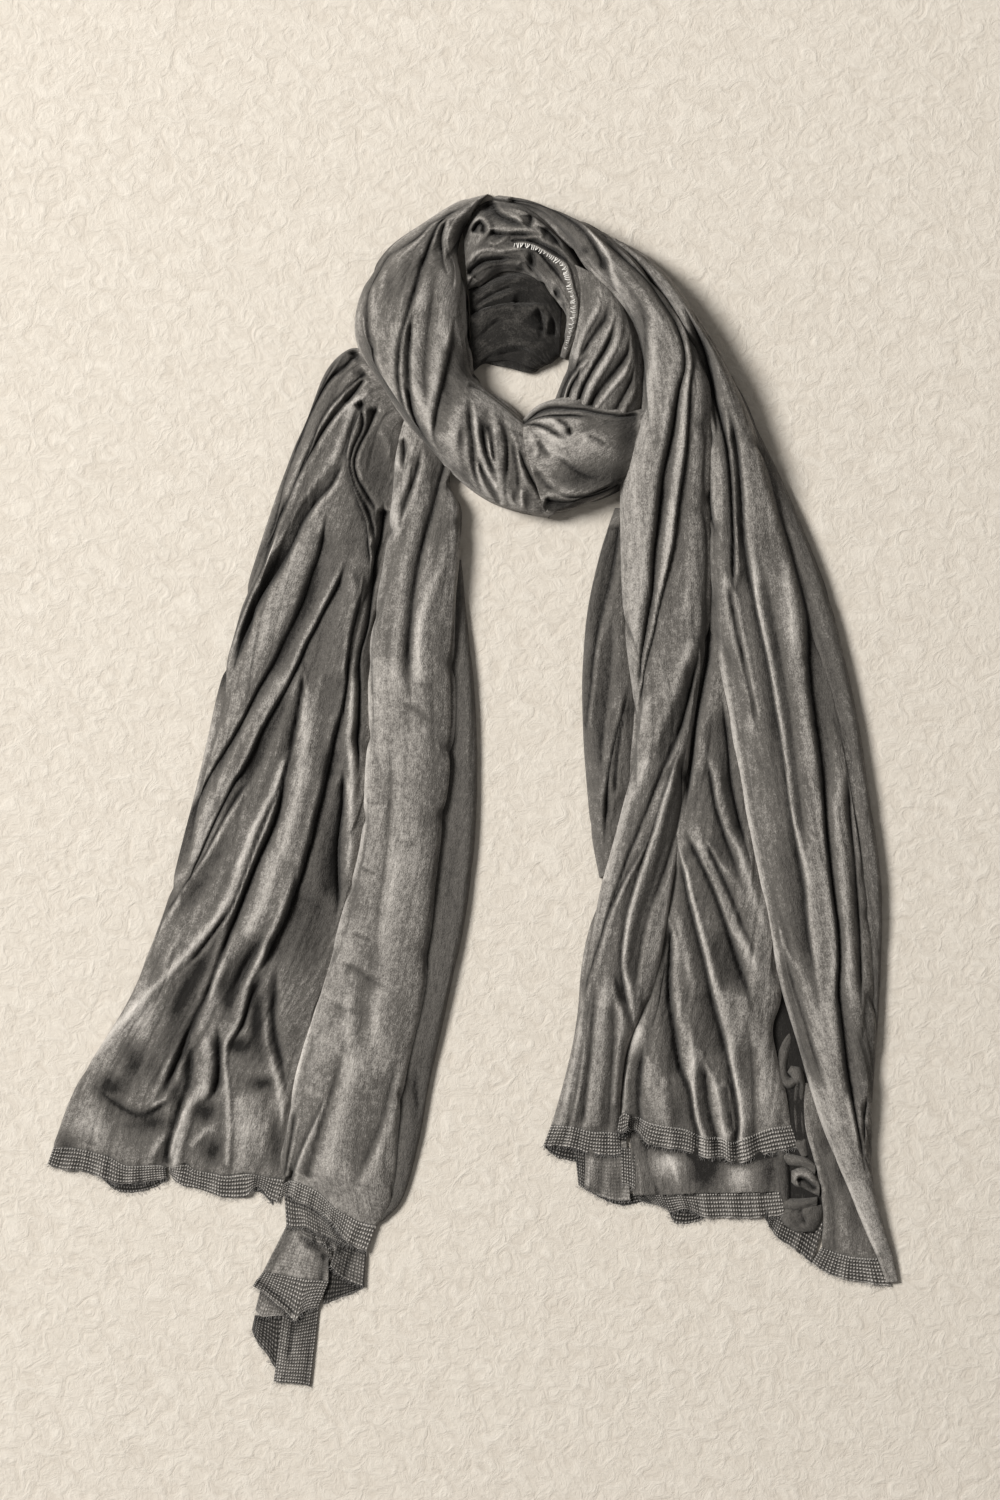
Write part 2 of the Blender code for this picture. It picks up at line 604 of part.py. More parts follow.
def clear_scene():
    for old in list(bpy.data.objects):
        bpy.data.objects.remove(old)


def build_scarf():
    cloth = cloth_material("washed_cotton", WASHED_GREY)
    shaded = cloth_material("shaded_cotton", SHADED_GREY)
    woven = cloth_material("woven_end", BAND_GREY)

    front = stretch("wrap_front", FRONT_SECTIONS, FRONT_FOLDS, cloth)
    stretch("wrap_bottom", BOTTOM_SECTIONS, BOTTOM_FOLDS, cloth)
    strands = stretch("wrap_strands", STRAND_SECTIONS, STRAND_FOLDS, cloth)
    collar = stretch("wrap_collar", COLLAR_SECTIONS, COLLAR_FOLDS, shaded)
    back = stretch("wrap_back", BACK_SECTIONS, BACK_FOLDS, shaded)

    left_outer = stretch("tail_left_outer", LEFT_OUTER_SECTIONS, LEFT_OUTER_FOLDS, cloth)
    stretch("tail_left_panel", LEFT_PANEL_SECTIONS, LEFT_PANEL_FOLDS, cloth)
    left_back = stretch("tail_left_back", LEFT_BACK_SECTIONS, (), shaded)

    centre = stretch("tail_right_centre", CENTRE_SECTIONS, CENTRE_FOLDS, cloth)
    middle = stretch("tail_right_middle", MIDDLE_SECTIONS, MIDDLE_FOLDS, cloth)
    outer = stretch("tail_right_outer", OUTER_SECTIONS, OUTER_FOLDS, cloth)
    right_back = stretch("tail_right_back", RIGHT_BACK_SECTIONS, (), shaded)
    right_under = stretch("tail_right_under", RIGHT_UNDER_SECTIONS, RIGHT_UNDER_FOLDS, shaded)
    flap = stretch("tail_right_flap", FLAP_SECTIONS, (), cloth)
    ruffle = stretch("tail_right_ruffle", RUFFLE_SECTIONS, RUFFLE_FOLDS, shaded)

    make_room(front, LEFT_OUTER_SECTIONS, LEFT_OUTER_FOLDS, TUCK_CLEARANCE)
    make_room(front, LEFT_PANEL_SECTIONS, LEFT_PANEL_FOLDS, TUCK_CLEARANCE)
    make_room(centre, BOTTOM_SECTIONS, BOTTOM_FOLDS, TUCK_CLEARANCE)

    make_room(left_outer, LEFT_PANEL_SECTIONS, LEFT_PANEL_FOLDS, SEAM_GAP)
    make_room(left_back, LEFT_PANEL_SECTIONS, LEFT_PANEL_FOLDS, SEAM_GAP)
    make_room(collar, CENTRE_SECTIONS, CENTRE_FOLDS, SEAM_GAP)
    make_room(strands, CENTRE_SECTIONS, CENTRE_FOLDS, SEAM_GAP)
    make_room(strands, BOTTOM_SECTIONS, BOTTOM_FOLDS, SEAM_GAP)
    make_room(collar, FRONT_SECTIONS, FRONT_FOLDS, SEAM_GAP)
    make_room(back, FRONT_SECTIONS, FRONT_FOLDS, SEAM_GAP)
    make_room(outer, CENTRE_SECTIONS, CENTRE_FOLDS, SEAM_GAP)
    make_room(middle, CENTRE_SECTIONS, CENTRE_FOLDS, SEAM_GAP)
    make_room(middle, OUTER_SECTIONS, OUTER_FOLDS, SEAM_GAP)
    make_room(right_back, OUTER_SECTIONS, OUTER_FOLDS, SEAM_GAP)
    make_room(right_under, CENTRE_SECTIONS, CENTRE_FOLDS, SEAM_GAP)
    make_room(flap, OUTER_SECTIONS, OUTER_FOLDS, SEAM_GAP)
    make_room(ruffle, FLAP_SECTIONS, (), SEAM_GAP)

    for band in BANDS:
        end_band(band, woven)


clear_scene()
build_scarf()
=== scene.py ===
import math

import bpy
import numpy as np
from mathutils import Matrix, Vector


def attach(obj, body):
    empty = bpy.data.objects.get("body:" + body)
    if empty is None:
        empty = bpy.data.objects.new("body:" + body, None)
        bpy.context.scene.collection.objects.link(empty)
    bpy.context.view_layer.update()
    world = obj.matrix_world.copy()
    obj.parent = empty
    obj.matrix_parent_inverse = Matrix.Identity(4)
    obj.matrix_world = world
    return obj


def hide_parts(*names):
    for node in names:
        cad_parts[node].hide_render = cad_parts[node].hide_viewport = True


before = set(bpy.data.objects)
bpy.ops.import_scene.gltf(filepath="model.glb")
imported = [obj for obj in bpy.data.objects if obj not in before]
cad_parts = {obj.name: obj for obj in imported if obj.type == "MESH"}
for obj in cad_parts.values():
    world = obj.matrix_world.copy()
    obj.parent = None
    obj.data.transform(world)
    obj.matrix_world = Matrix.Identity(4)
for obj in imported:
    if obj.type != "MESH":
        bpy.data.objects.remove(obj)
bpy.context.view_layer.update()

# the tables below are in millimetres, seen from above; centreShift brings the part's middle to zero
mm = 0.001
centreShift = (-0.5, 1.0)
ring = 58.0      # crown height of the neck ring
tail = 24.0      # crown height of a hanging tail
grain = {
    "across": 1.05, "along": 2.2,         # size of a face
    "spare": 1.06,                        # columns to spare for the steep sides
    "crowd": 0.12,                        # how much the columns crowd towards them
    "lowest": 0.6,                        # height of the cloth's lowest points
    "bend": 60.0,                         # length over which the last rows turn to the seam
    "deepest": 0.78,                      # share of its height that a crease may take
    "wrinkle": 0.7,                       # height of the soft unevenness
    # small pleats that run with the cloth: width, length and depth of each kind, and how narrow they are
    "small": ((13.0, 95.0, 0.8), (7.0, 60.0, 0.5), (21.0, 130.0, 1.2)), "narrow": 0.13,
    "cavity": 0.09, "cavityRange": (-0.6, 0.35),       # painted highlight on raised places and painted shade in hollows
    "washAndShade": 0.7}                          # paler crests, partly bleaching and partly painted highlight, against painted shade in the valleys
# what a stroke does to the cloth around it
fold = {
    "felt": 34.0, "far": 40.0,            # how far it is felt, and what counts as far from any crease
    "pleat": 22.0,                        # half width of the widest roll between two creases
    "uneven": 0.22, "every": 26.0,        # how much, and over what length, it swells and thins
    "fadeShare": 0.3, "fadeMost": 30.0,   # share of its length over which it fades, and the most of it
    "short": 80.0, "closing": 14.0,       # a crease under this length is narrower; it closes at its ends
    "slit": 1.3, "dark": 1.9,             # half widths of a crease's bottom and of the painted shade along it
    "crest": 0.7, "slope": 7.0,           # reach of a lean on its steep and on its easy side
    "fullShadeAt": 8.0}                      # crease depth at which the valley gets its full painted shade against the paler crests
# folds pressed into the steep sides: how deep, wide and long, the crown where they are full, and how much
# painted shade they get
side = {"deep": 3.2, "bulge": 2.0, "wide": 15.0, "long": 60.0, "full": 24.0, "tone": 0.7}
# a woven end: row size, lowest point, how much of the cloth's waves its free edge keeps, how the
# waves fade towards it, how strong the painted highlight on raised places and painted shade in hollows,
# how much of the cloth's painted light and shade reaches the sewn edge, how pale the two raw rows get
hem = {"row": 1.3, "lowest": 0.7, "keep": 0.35, "power": 1.4, "cavity": 0.25, "sewn": 0.7,
       "raw": (0.5, 0.15), "stitchLift": 0.3}


# smooth curve through every given point, resampled at even steps of its first two columns
def smoothCurve(points, step=4.0):
    known = np.array(points, dtype=float)
    if len(known) == 2:
        dense = np.linspace(known[0], known[1], 9)
    else:
        ends = np.vstack([2 * known[0] - known[1], known, 2 * known[-1] - known[-2]])
        t = np.linspace(0.0, 1.0, 10, endpoint=False)[:, None]
        runs = []
        for i in range(1, len(ends) - 2):
            before, start, stop, after = ends[i - 1:i + 3]
            runs.append(start + 0.5 * ((stop - before) * t
                                       + (2 * before - 5 * start + 4 * stop - after) * t ** 2
                                       + (3 * start - before - 3 * stop + after) * t ** 3))
        dense = np.vstack(runs + [known[-1:]])
    reach = lengthAlong(dense[:, :2])
    count = max(int(round(reach[-1] / step)), 2)
    want = np.linspace(0.0, reach[-1], count + 1)
    return np.stack([np.interp(want, reach, dense[:, k]) for k in range(dense.shape[1])], axis=1)


def lengthAlong(line):
    return np.concatenate([[0.0], np.cumsum(np.hypot(*np.diff(line, axis=0).T))])


# a line seen as shares of its point count, read at the given shares
def readLine(line, shares):
    known = np.linspace(0, 1, len(line))
    return np.stack([np.interp(shares, known, line[:, k]) for k in (0, 1)], axis=1)


def softNoise(x, y, seed):
    size = 64
    cells = np.random.default_rng(seed).uniform(-1.0, 1.0, (size, size))
    i = np.floor(x).astype(int)
    j = np.floor(y).astype(int)
    a = smoothStep(x - i)
    b = smoothStep(y - j)
    c00 = cells[i % size, j % size]
    c10 = cells[(i + 1) % size, j % size]
    c01 = cells[i % size, (j + 1) % size]
    c11 = cells[(i + 1) % size, (j + 1) % size]
    return (c00 * (1 - a) + c10 * a) * (1 - b) + (c01 * (1 - a) + c11 * a) * b


def smoothStep(t):
    return t * t * (3 - 2 * t)


# signed distance to a curve (plus is to the left of its direction of travel), how far along the
# curve that is, the curve's length, and the sideways direction there
def nearCurve(xy, path, reach):
    line = smoothCurve(path)
    inside = np.where(((xy > line.min(axis=0) - reach) & (xy < line.max(axis=0) + reach)).all(axis=1))[0]
    spots = xy[inside]
    best = np.full(len(spots), 1e9)
    turn, along = np.zeros((2, len(spots)))
    normal = np.zeros((len(spots), 2))
    done = 0.0
    for start, leg in zip(line[:-1], np.diff(line, axis=0)):
        length = float(np.hypot(*leg))
        way = leg / length
        offset = spots - start
        share = np.clip(offset @ way, 0.0, length)
        gap = offset - share[:, None] * way
        far = np.hypot(gap[:, 0], gap[:, 1])
        nearer = far < best
        best[nearer] = far[nearer]
        turn[nearer] = np.sign(way[0] * offset[nearer, 1] - way[1] * offset[nearer, 0])
        along[nearer] = done + share[nearer]
        normal[nearer] = (-way[1], way[0])
        done += length
    return inside, best * np.where(turn == 0, 1, turn), along, done, normal


# one stroke on the cloth; ends are the lengths over which it fades in and out
def stroke(kind, path, ends, **values):
    return {"kind": kind, "path": path, "ends": ends, "lean": 0.0, "offset": 0.0, "sharp": 1.8,
            "toneWidth": 3.0, **values}


# each helper below gives the strokes of one kind of fold, with lengths in millimetres
# a soft raised line; its tone paints a highlight along it, and paints shade where it is below zero
def ridge(path, rise=3.5, width=4.0, tone=0.5, ends=(30, 30)):
    return [stroke("bump", path, ends, rise=rise * 0.7, left=width * 1.25, right=width * 1.25,
                   tone=tone * 0.55, toneWidth=width)]


# a line where two rolls of cloth meet, with painted shade along it
def slot(path, depth=8.0, tone=-0.8, ends=(30, 30)):
    return [stroke("crease", path, ends, depth=depth * 1.5, slit=0.2 * depth, tone=tone * 0.7,
                   near=2.4, far=0.62)]


# a narrow cleft between two strands that stay broad, with painted shade along it
def cleft(path, depth=6.0, tone=-0.8, ends=(30, 30)):
    return [stroke("crease", path, ends, depth=depth * 1.1, slit=0.28 * depth, tone=tone * 0.8,
                   near=2.6, far=1.5)]


# a fold that lies over its neighbour: steep on the low side (-1 or 1), easy on the other one; a painted
# shadow lies in its crease and a painted highlight along the edge of the upper fold
def lap(path, rise=4.0, reach=12.0, low=-1, depth=6.0, tone=0.6, ends=(30, 30)):
    near, far = (2.8, 0.62) if low < 0 else (0.62, 2.8)
    left, right = (reach, 0.8) if low < 0 else (0.8, reach)
    return [stroke("crease", path, ends, depth=depth * 1.3 + rise * 0.6, slit=0.3 * depth, tone=-0.5,
                   near=near, far=far),
            stroke("bump", path, ends, rise=rise * 0.8, left=left, right=right, tone=0.0,
                   lean=1.2 * low, sharp=1.2),
            stroke("bump", path, ends, rise=0.0, left=1.0, right=1.0, tone=tone * 0.5,
                   offset=-2.4 * low, toneWidth=2.4)]


# a strand of cloth with a round top and clear sides; half is half of its width; a painted highlight runs
# along its top
def roll(path, rise=4.0, half=4.0, tone=0.5, ends=(10, 10)):
    return [stroke("roll", path, ends, rise=rise * 0.55, half=half, tone=tone * 0.4)]


# a soft patch of painted light (tone above zero) or painted shade (tone below zero), higher or lower than the
# cloth around it
def patch(x, y, wide, tall, tone=0.0, rise=0.0):
    return [{"kind": "patch", "spot": (x, y), "size": (wide, tall), "tone": tone, "rise": rise}]


# what the strokes do at each point: rise, painted light and shade, and sideways shift
def shaped(xy, strokes, strength):
    rise, tone, depth = np.zeros((3, len(xy)))
    shift = np.zeros((len(xy), 2))
    first, second = np.full((2, len(xy)), fold["far"])   # distance to the nearest crease and the next
    for s in (one for group in strokes for one in group):
        if s["kind"] == "patch":
            far = ((xy - s["spot"]) / s["size"]) ** 2
            glow = np.exp(-far.sum(axis=1))
            rise += s["rise"] * glow
            # the patch's painted light, or painted shade where its tone is below zero
            tone += s["tone"] * glow
            continue
        inside, d, along, length, normal = nearCurve(xy, s["path"], fold["felt"])
        fade = np.ones(len(inside))
        for end, far in zip(s["ends"], (along, length - along)):
            if end:
                longer = min(fold["fadeShare"] * length, fold["fadeMost"])
                span = max(end, longer) if end > 5 else end
                fade *= np.clip(far / min(span, length * 0.5), 0.0, 1.0)
        fade = smoothStep(fade)
        # the fold is stronger and weaker along its length, never even
        uneven = 1.0 + fold["uneven"] * softNoise(along / fold["every"] + s["path"][0][0], along * 0 + 0.5, 5)
        d = d - s["offset"]
        if s["kind"] == "crease":
            reach = np.full(len(xy), fold["far"])
            narrow = 1.0 + 0.6 * np.clip(fold["short"] / length - 1.0, 0.0, 2.0)
            narrow = narrow * (1.0 + 1.5 * (1 - fade))
            reach[inside] = (np.abs(d) * np.where(d < 0, s["far"], s["near"]) * narrow
                             + (1 - fade) * fold["closing"])
            closer = reach < first
            second = np.where(closer, first, np.minimum(second, reach))
            first = np.minimum(first, reach)
            own = np.full(len(xy), s["depth"])
            own[inside] *= uneven
            depth = np.where(closer, own, depth)
            rise[inside] -= s["slit"] * (fade * uneven * np.exp(-np.abs(d / fold["slit"]) ** 1.5))
            # painted shade along the crease
            tone[inside] += s["tone"] * fade * np.exp(-np.abs(d / fold["dark"]) ** 1.5)
            continue
        if s["kind"] == "roll":
            half = s["half"] * (0.35 + 0.65 * fade)
            top = np.sqrt(np.maximum(1.0 - (d / half) ** 2, 0.0))
            rise[inside] += s["rise"] * fade * uneven * top
            # a painted highlight along the roll's top
            tone[inside] += s["tone"] * fade * np.exp(-np.abs(d / (0.55 * half)) ** 2)
            continue
        wide = np.where(d < 0, s["right"], s["left"])
        rise[inside] += s["rise"] * fade * uneven * np.exp(-np.abs(d / wide) ** s["sharp"])
        # a painted highlight along the raised line, painted shade where its tone is below zero
        if s["tone"]:
            tone[inside] += s["tone"] * fade * np.exp(-np.abs(d / s["toneWidth"]) ** 2)
        if s["lean"]:
            low = np.sign(s["lean"])
            top = np.where(d * low > 0, np.exp(-np.abs(d / fold["crest"]) ** 2),
                           np.exp(-np.abs(d / fold["slope"])))
            shift[inside] += normal * (s["lean"] * fade * top)[:, None]
    # between two creases the cloth is a roll with a round top, wider rolls standing higher
    half = np.minimum((first + second) / 2, fold["pleat"])
    share = np.clip(first / half, 0.0, 1.0)
    steep = 1.0 - np.sqrt(np.maximum(1.0 - (1.0 - share) ** 2, 0.0))
    rise -= np.minimum(depth, 0.85 * half + 1.0) * (0.4 * steep + 0.6 * (1.0 - share) ** 2)
    # painted shade in the valleys of deep creases, and paler crests that are partly bleaching and partly
    # painted highlight
    dark = np.minimum(depth / fold["fullShadeAt"], 1.0) * (1.0 - share ** 0.8)
    tone += grain["washAndShade"] * (0.18 - dark)
    return rise * strength, tone, shift * strength[:, None]


def blurred(field, rows, columns):
    for axis, size in ((0, rows), (1, columns)):
        pad = [(size, size) if k == axis else (0, 0) for k in (0, 1)]
        total = np.cumsum(np.pad(field, pad, mode="edge"), axis=axis)
        zero = np.zeros_like(np.take(total, [0], axis=axis))
        total = np.concatenate([zero, total], axis=axis)
        span = 2 * size + 1
        high = np.take(total, range(span, total.shape[axis]), axis=axis)
        low = np.take(total, range(0, total.shape[axis] - span), axis=axis)
        field = (high - low) / span
    return field


def gridFaces(rows, columns):
    i = np.arange(rows - 1)[:, None] * columns + np.arange(columns - 1)[None, :]
    return np.stack([i, i + 1, i + columns + 1, i + columns], axis=-1).reshape(-1, 4)


# rows of a stretch of cloth: left point, right point, and its height as a share of a crown
def profile(crown, *rows):
    return [(*edges, share * crown) for *edges, share in rows]


# cloth between a left and a right edge curve, rounded across, creased by its strokes; lip is the
# height of its edges, power how flat its top, gain how strong its strokes, fine the size of its faces,
# seam the line where it goes on as a woven end, and closed says which ends run down to the floor
# tone is painted shade over the whole stretch where below zero, painted light where above
def stretch(sections, strokes, seed, lip=3.0, power=2.6, tone=0.0, wrinkle=1.0,
            closed=(True, True), seam=None, fine=1.0, gain=1.0):
    table = [((a + c) / 2, (b + d) / 2, a, b, c, d, h) for a, b, c, d, h in sections]
    rows = smoothCurve(table, grain["along"] * fine)
    left, right, crown = rows[:, 2:4], rows[:, 4:6], rows[:, 6:]
    widths = np.hypot(*(right - left).T)
    columns = max(int(grain["spare"] * np.percentile(widths, 90) / grain["across"] / fine), 10)
    t = np.linspace(0.0, 1.0, columns + 1)
    u = t - grain["crowd"] * np.sin(2 * math.pi * t)
    place = left[:, None, :] + (right - left)[:, None, :] * u[None, :, None]
    along = np.repeat(lengthAlong(rows[:, :2])[:, None], len(u), axis=1)
    dome = ((1.0 - np.abs(2.0 * u - 1.0) ** power) ** (1.0 / power))[None, :]
    rim = lip + (crown - lip) * dome
    # the cloth is measured over its rounded sides, so that the weave doesn't stretch on them
    steps = np.hypot(np.diff(rim, axis=1), widths[:, None] * np.diff(u)[None, :])
    across = np.concatenate([np.zeros((len(rows), 1)), np.cumsum(steps, axis=1)], axis=1)
    if seam is not None:
        target = readLine(smoothCurve(seam, 1.0), u)
        bend = np.clip(1.0 - (along[-1, 0] - along) / grain["bend"], 0.0, 1.0)[:, :, None] ** 2
        place = place + (target - place[-1])[None] * bend
    strength = np.clip(dome * 1.6 - 0.15, 0.0, 1.0) * np.ones_like(rim)
    rise, pale, shift = shaped(place.reshape(-1, 2), strokes, strength.ravel())
    rise = gain * rise.reshape(rim.shape)
    pale = gain * pale.reshape(rim.shape)

    def noise(wide, long, number):
        return softNoise(across / wide, along / long, seed + number)

    soft = noise(9.0, 70.0, 0) + 0.5 * noise(4.0, 34.0, 1)
    soft += 0.7 * noise(30.0, 45.0, 2)
    thin = np.zeros_like(rim)
    for k, (wide, long, deep) in enumerate(grain["small"]):
        here = np.clip(0.7 + noise(40.0, 60.0, 15 + k), 0.0, 1.0)
        thin += deep * here * np.exp(-(np.abs(noise(wide, long, 5 + k)) / grain["narrow"]) ** 1.3)
    thin *= wrinkle * strength
    z = rim + np.maximum(rise, -grain["deepest"] * rim) + soft * grain["wrinkle"] * wrinkle * strength - thin
    # painted shade in the small pleats
    pale = pale - 0.1 * thin
    # painted shade in hollows and a painted highlight on raised places, then the stretch's tone
    cavity = z - blurred(z, round(2 / fine), round(5 / fine))
    pale = pale + np.clip(cavity * grain["cavity"], *grain["cavityRange"]) + tone
    # the outermost columns run down the side to what the cloth lies on
    for edge in (0, -1):
        z[:, edge] = np.minimum(z[:, edge], grain["lowest"])
    # folds that run along the steep sides, with painted shade in them
    wander = noise(side["wide"], side["long"], 31)
    pressed = np.exp(-(np.abs(wander + 0.1) / 0.2) ** 1.6)
    reach = np.clip(1.03 - dome, 0.0, 0.5) / 0.5 * np.clip(crown / side["full"] - 0.35, 0.0, 1.0)
    pale = pale - side["tone"] * (pressed - 0.25) * reach
    push = (side["bulge"] * wander - side["deep"] * pressed) * reach * np.where(u < 0.5, -1.0, 1.0)[None, :]
    outward = (right - left) / np.maximum(widths[:, None], 1e-6)
    place = place + shift.reshape(place.shape) + push[:, :, None] * outward[:, None, :]
    z = np.maximum(z, grain["lowest"])
    part = {"end": np.dstack([place[-1:], z[-1:]])[0], "endPale": pale[-1]}
    fields = [place, z, across, along, pale]
    if closed[0]:
        fields = [np.concatenate([f[:1], f]) for f in fields]
        fields[1][0] = grain["lowest"]
    if closed[1]:
        fields = [np.concatenate([f, f[-1:]]) for f in fields]
        fields[1][-1] = grain["lowest"]
    place, z, across, along, pale = fields
    return {"points": np.dstack([place, z]).reshape(-1, 3), "faces": gridFaces(*z.shape),
            "uv": np.dstack([across, along]).reshape(-1, 2), "pale": pale.ravel(), **part}


# thin woven end that goes on from a row of cloth points, with their painted light and shade (or from a seam
# line at a given height), to its free edge, in soft waves; its tone below zero is painted shade
def band(seam, edge, strokes=(), edgeHeight=2.0, waves=4.0, ripple=1.4, tone=0.1, seed=3,
         seamHeight=None, fray=0.6, pale=None, ribs=1.0, raw=True):
    if seamHeight is not None:
        line = smoothCurve(seam, 1.1)
        top = np.column_stack([line, np.full(len(line), float(seamHeight))])
        wave = np.linspace(0, 1, len(top)) * waves * 2 * math.pi
        top[:, 2] += 0.5 * ripple * (np.sin(wave + seed) + 0.5 * np.sin(2.3 * wave + 2 * seed))
    else:
        top = np.array(seam)
    run = lengthAlong(top[:, :2])
    t = run / run[-1]
    low = readLine(smoothCurve(edge, 1.0), t)
    deep = float(np.hypot(*(top[:, :2] - low).T).mean())
    rows = max(int(deep / hem["row"]), 3)
    v = np.linspace(0, 1, rows + 1)[:, None]
    place = top[None, :, :2] * (1 - v[:, :, None]) + low[None] * v[:, :, None]
    outward = (low - top[:, :2]) / deep
    place[-1] += (fray * softNoise(run / 1.5, run * 0, seed + 9))[:, None] * outward
    wave = np.sin(2 * math.pi * waves * t + seed) + 0.6 * np.sin(2 * math.pi * waves * 1.9 * t + 2.0 * seed)
    mean = np.convolve(np.pad(top[:, 2], 12, mode="edge"), np.ones(25) / 25, mode="valid")
    end = edgeHeight + ripple * (0.8 + wave * 0.6) + hem["keep"] * (top[:, 2] - mean)
    end = np.maximum(end, hem["lowest"])
    z = top[None, :, 2] * (1 - v) ** hem["power"] + end[None] * (1 - (1 - v) ** hem["power"])
    rise, tint, shift = shaped(place.reshape(-1, 2), strokes, np.ones(z.size))
    z = z + rise.reshape(z.shape) * 0.6 * v
    z = z + 0.3 * softNoise(run[None] / 3.0 + v * 0, v * deep / 6.0, seed) * v
    z = np.maximum(z, hem["lowest"])
    cavity = z - blurred(z, 2, 5)
    # the strokes' painted light and shade, the band's tone, and painted shade in hollows with a painted
    # highlight on raised rows
    tint = tint.reshape(z.shape) * 0.8 + tone + np.clip(cavity * hem["cavity"], -0.5, 0.5)
    # the cloth's painted light and shade goes on into the band near its seam
    if pale is not None:
        tint = tint + np.array(pale)[None] * (1 - v) * hem["sewn"]
    if raw:
        tint[-1] += hem["raw"][0]
        tint[-2] += hem["raw"][1]
    points = np.dstack([place, z]).reshape(-1, 3)
    uv = np.dstack([run[None] + v * 0, v * deep + run[None] * 0]).reshape(-1, 2)
    return {"points": points, "faces": gridFaces(rows + 1, len(top)), "uv": uv, "pale": tint.ravel(),
            "ribs": np.full(tint.size, ribs), "edge": np.column_stack([place[-1], z[-1]]),
            "top": np.column_stack([place[1], z[1] + hem["stitchLift"]]), "raw": raw}


# the part of a stretch's last row between two shares of its width, as a band's seam and paleness
def endRow(part, start=0.0, stop=1.0):
    row = part["end"]
    first = int(round(start * (len(row) - 1)))
    last = int(round(stop * (len(row) - 1)))
    return {"seam": row[first:last + 1], "pale": part["endPale"][first:last + 1]}


# a node with its settings and inputs; an input is a value or the socket that feeds it
def addNode(tree, kind, inputs=(), **settings):
    made = tree.nodes.new(kind)
    for name, value in settings.items():
        setattr(made, name, value)
    for key, value in dict(inputs).items():
        if isinstance(value, bpy.types.NodeSocket):
            tree.links.new(value, made.inputs[key])
        else:
            made.inputs[key].default_value = value
    return made


def maths(tree, operation, *values):
    return addNode(tree, "ShaderNodeMath", enumerate(values), operation=operation).outputs[0]


def noiseNode(tree, vector, scale, detail, rough, **more):
    inputs = {"Vector": vector, "Scale": scale, "Detail": detail, "Roughness": rough, **more}
    return addNode(tree, "ShaderNodeTexNoise", inputs).outputs["Fac"]


def newMaterial(name, rough, shine):
    made = bpy.data.materials.new(name)
    made.use_nodes = True
    shader = made.node_tree.nodes["Principled BSDF"]
    shader.inputs["Roughness"].default_value = rough
    shader.inputs["Specular IOR Level"].default_value = shine
    return made, shader


def bumpFrom(tree, shader, height, strength, distance):
    inputs = {"Height": height, "Strength": strength, "Distance": distance}
    made = addNode(tree, "ShaderNodeBump", inputs)
    tree.links.new(made.outputs["Normal"], shader.inputs["Normal"])


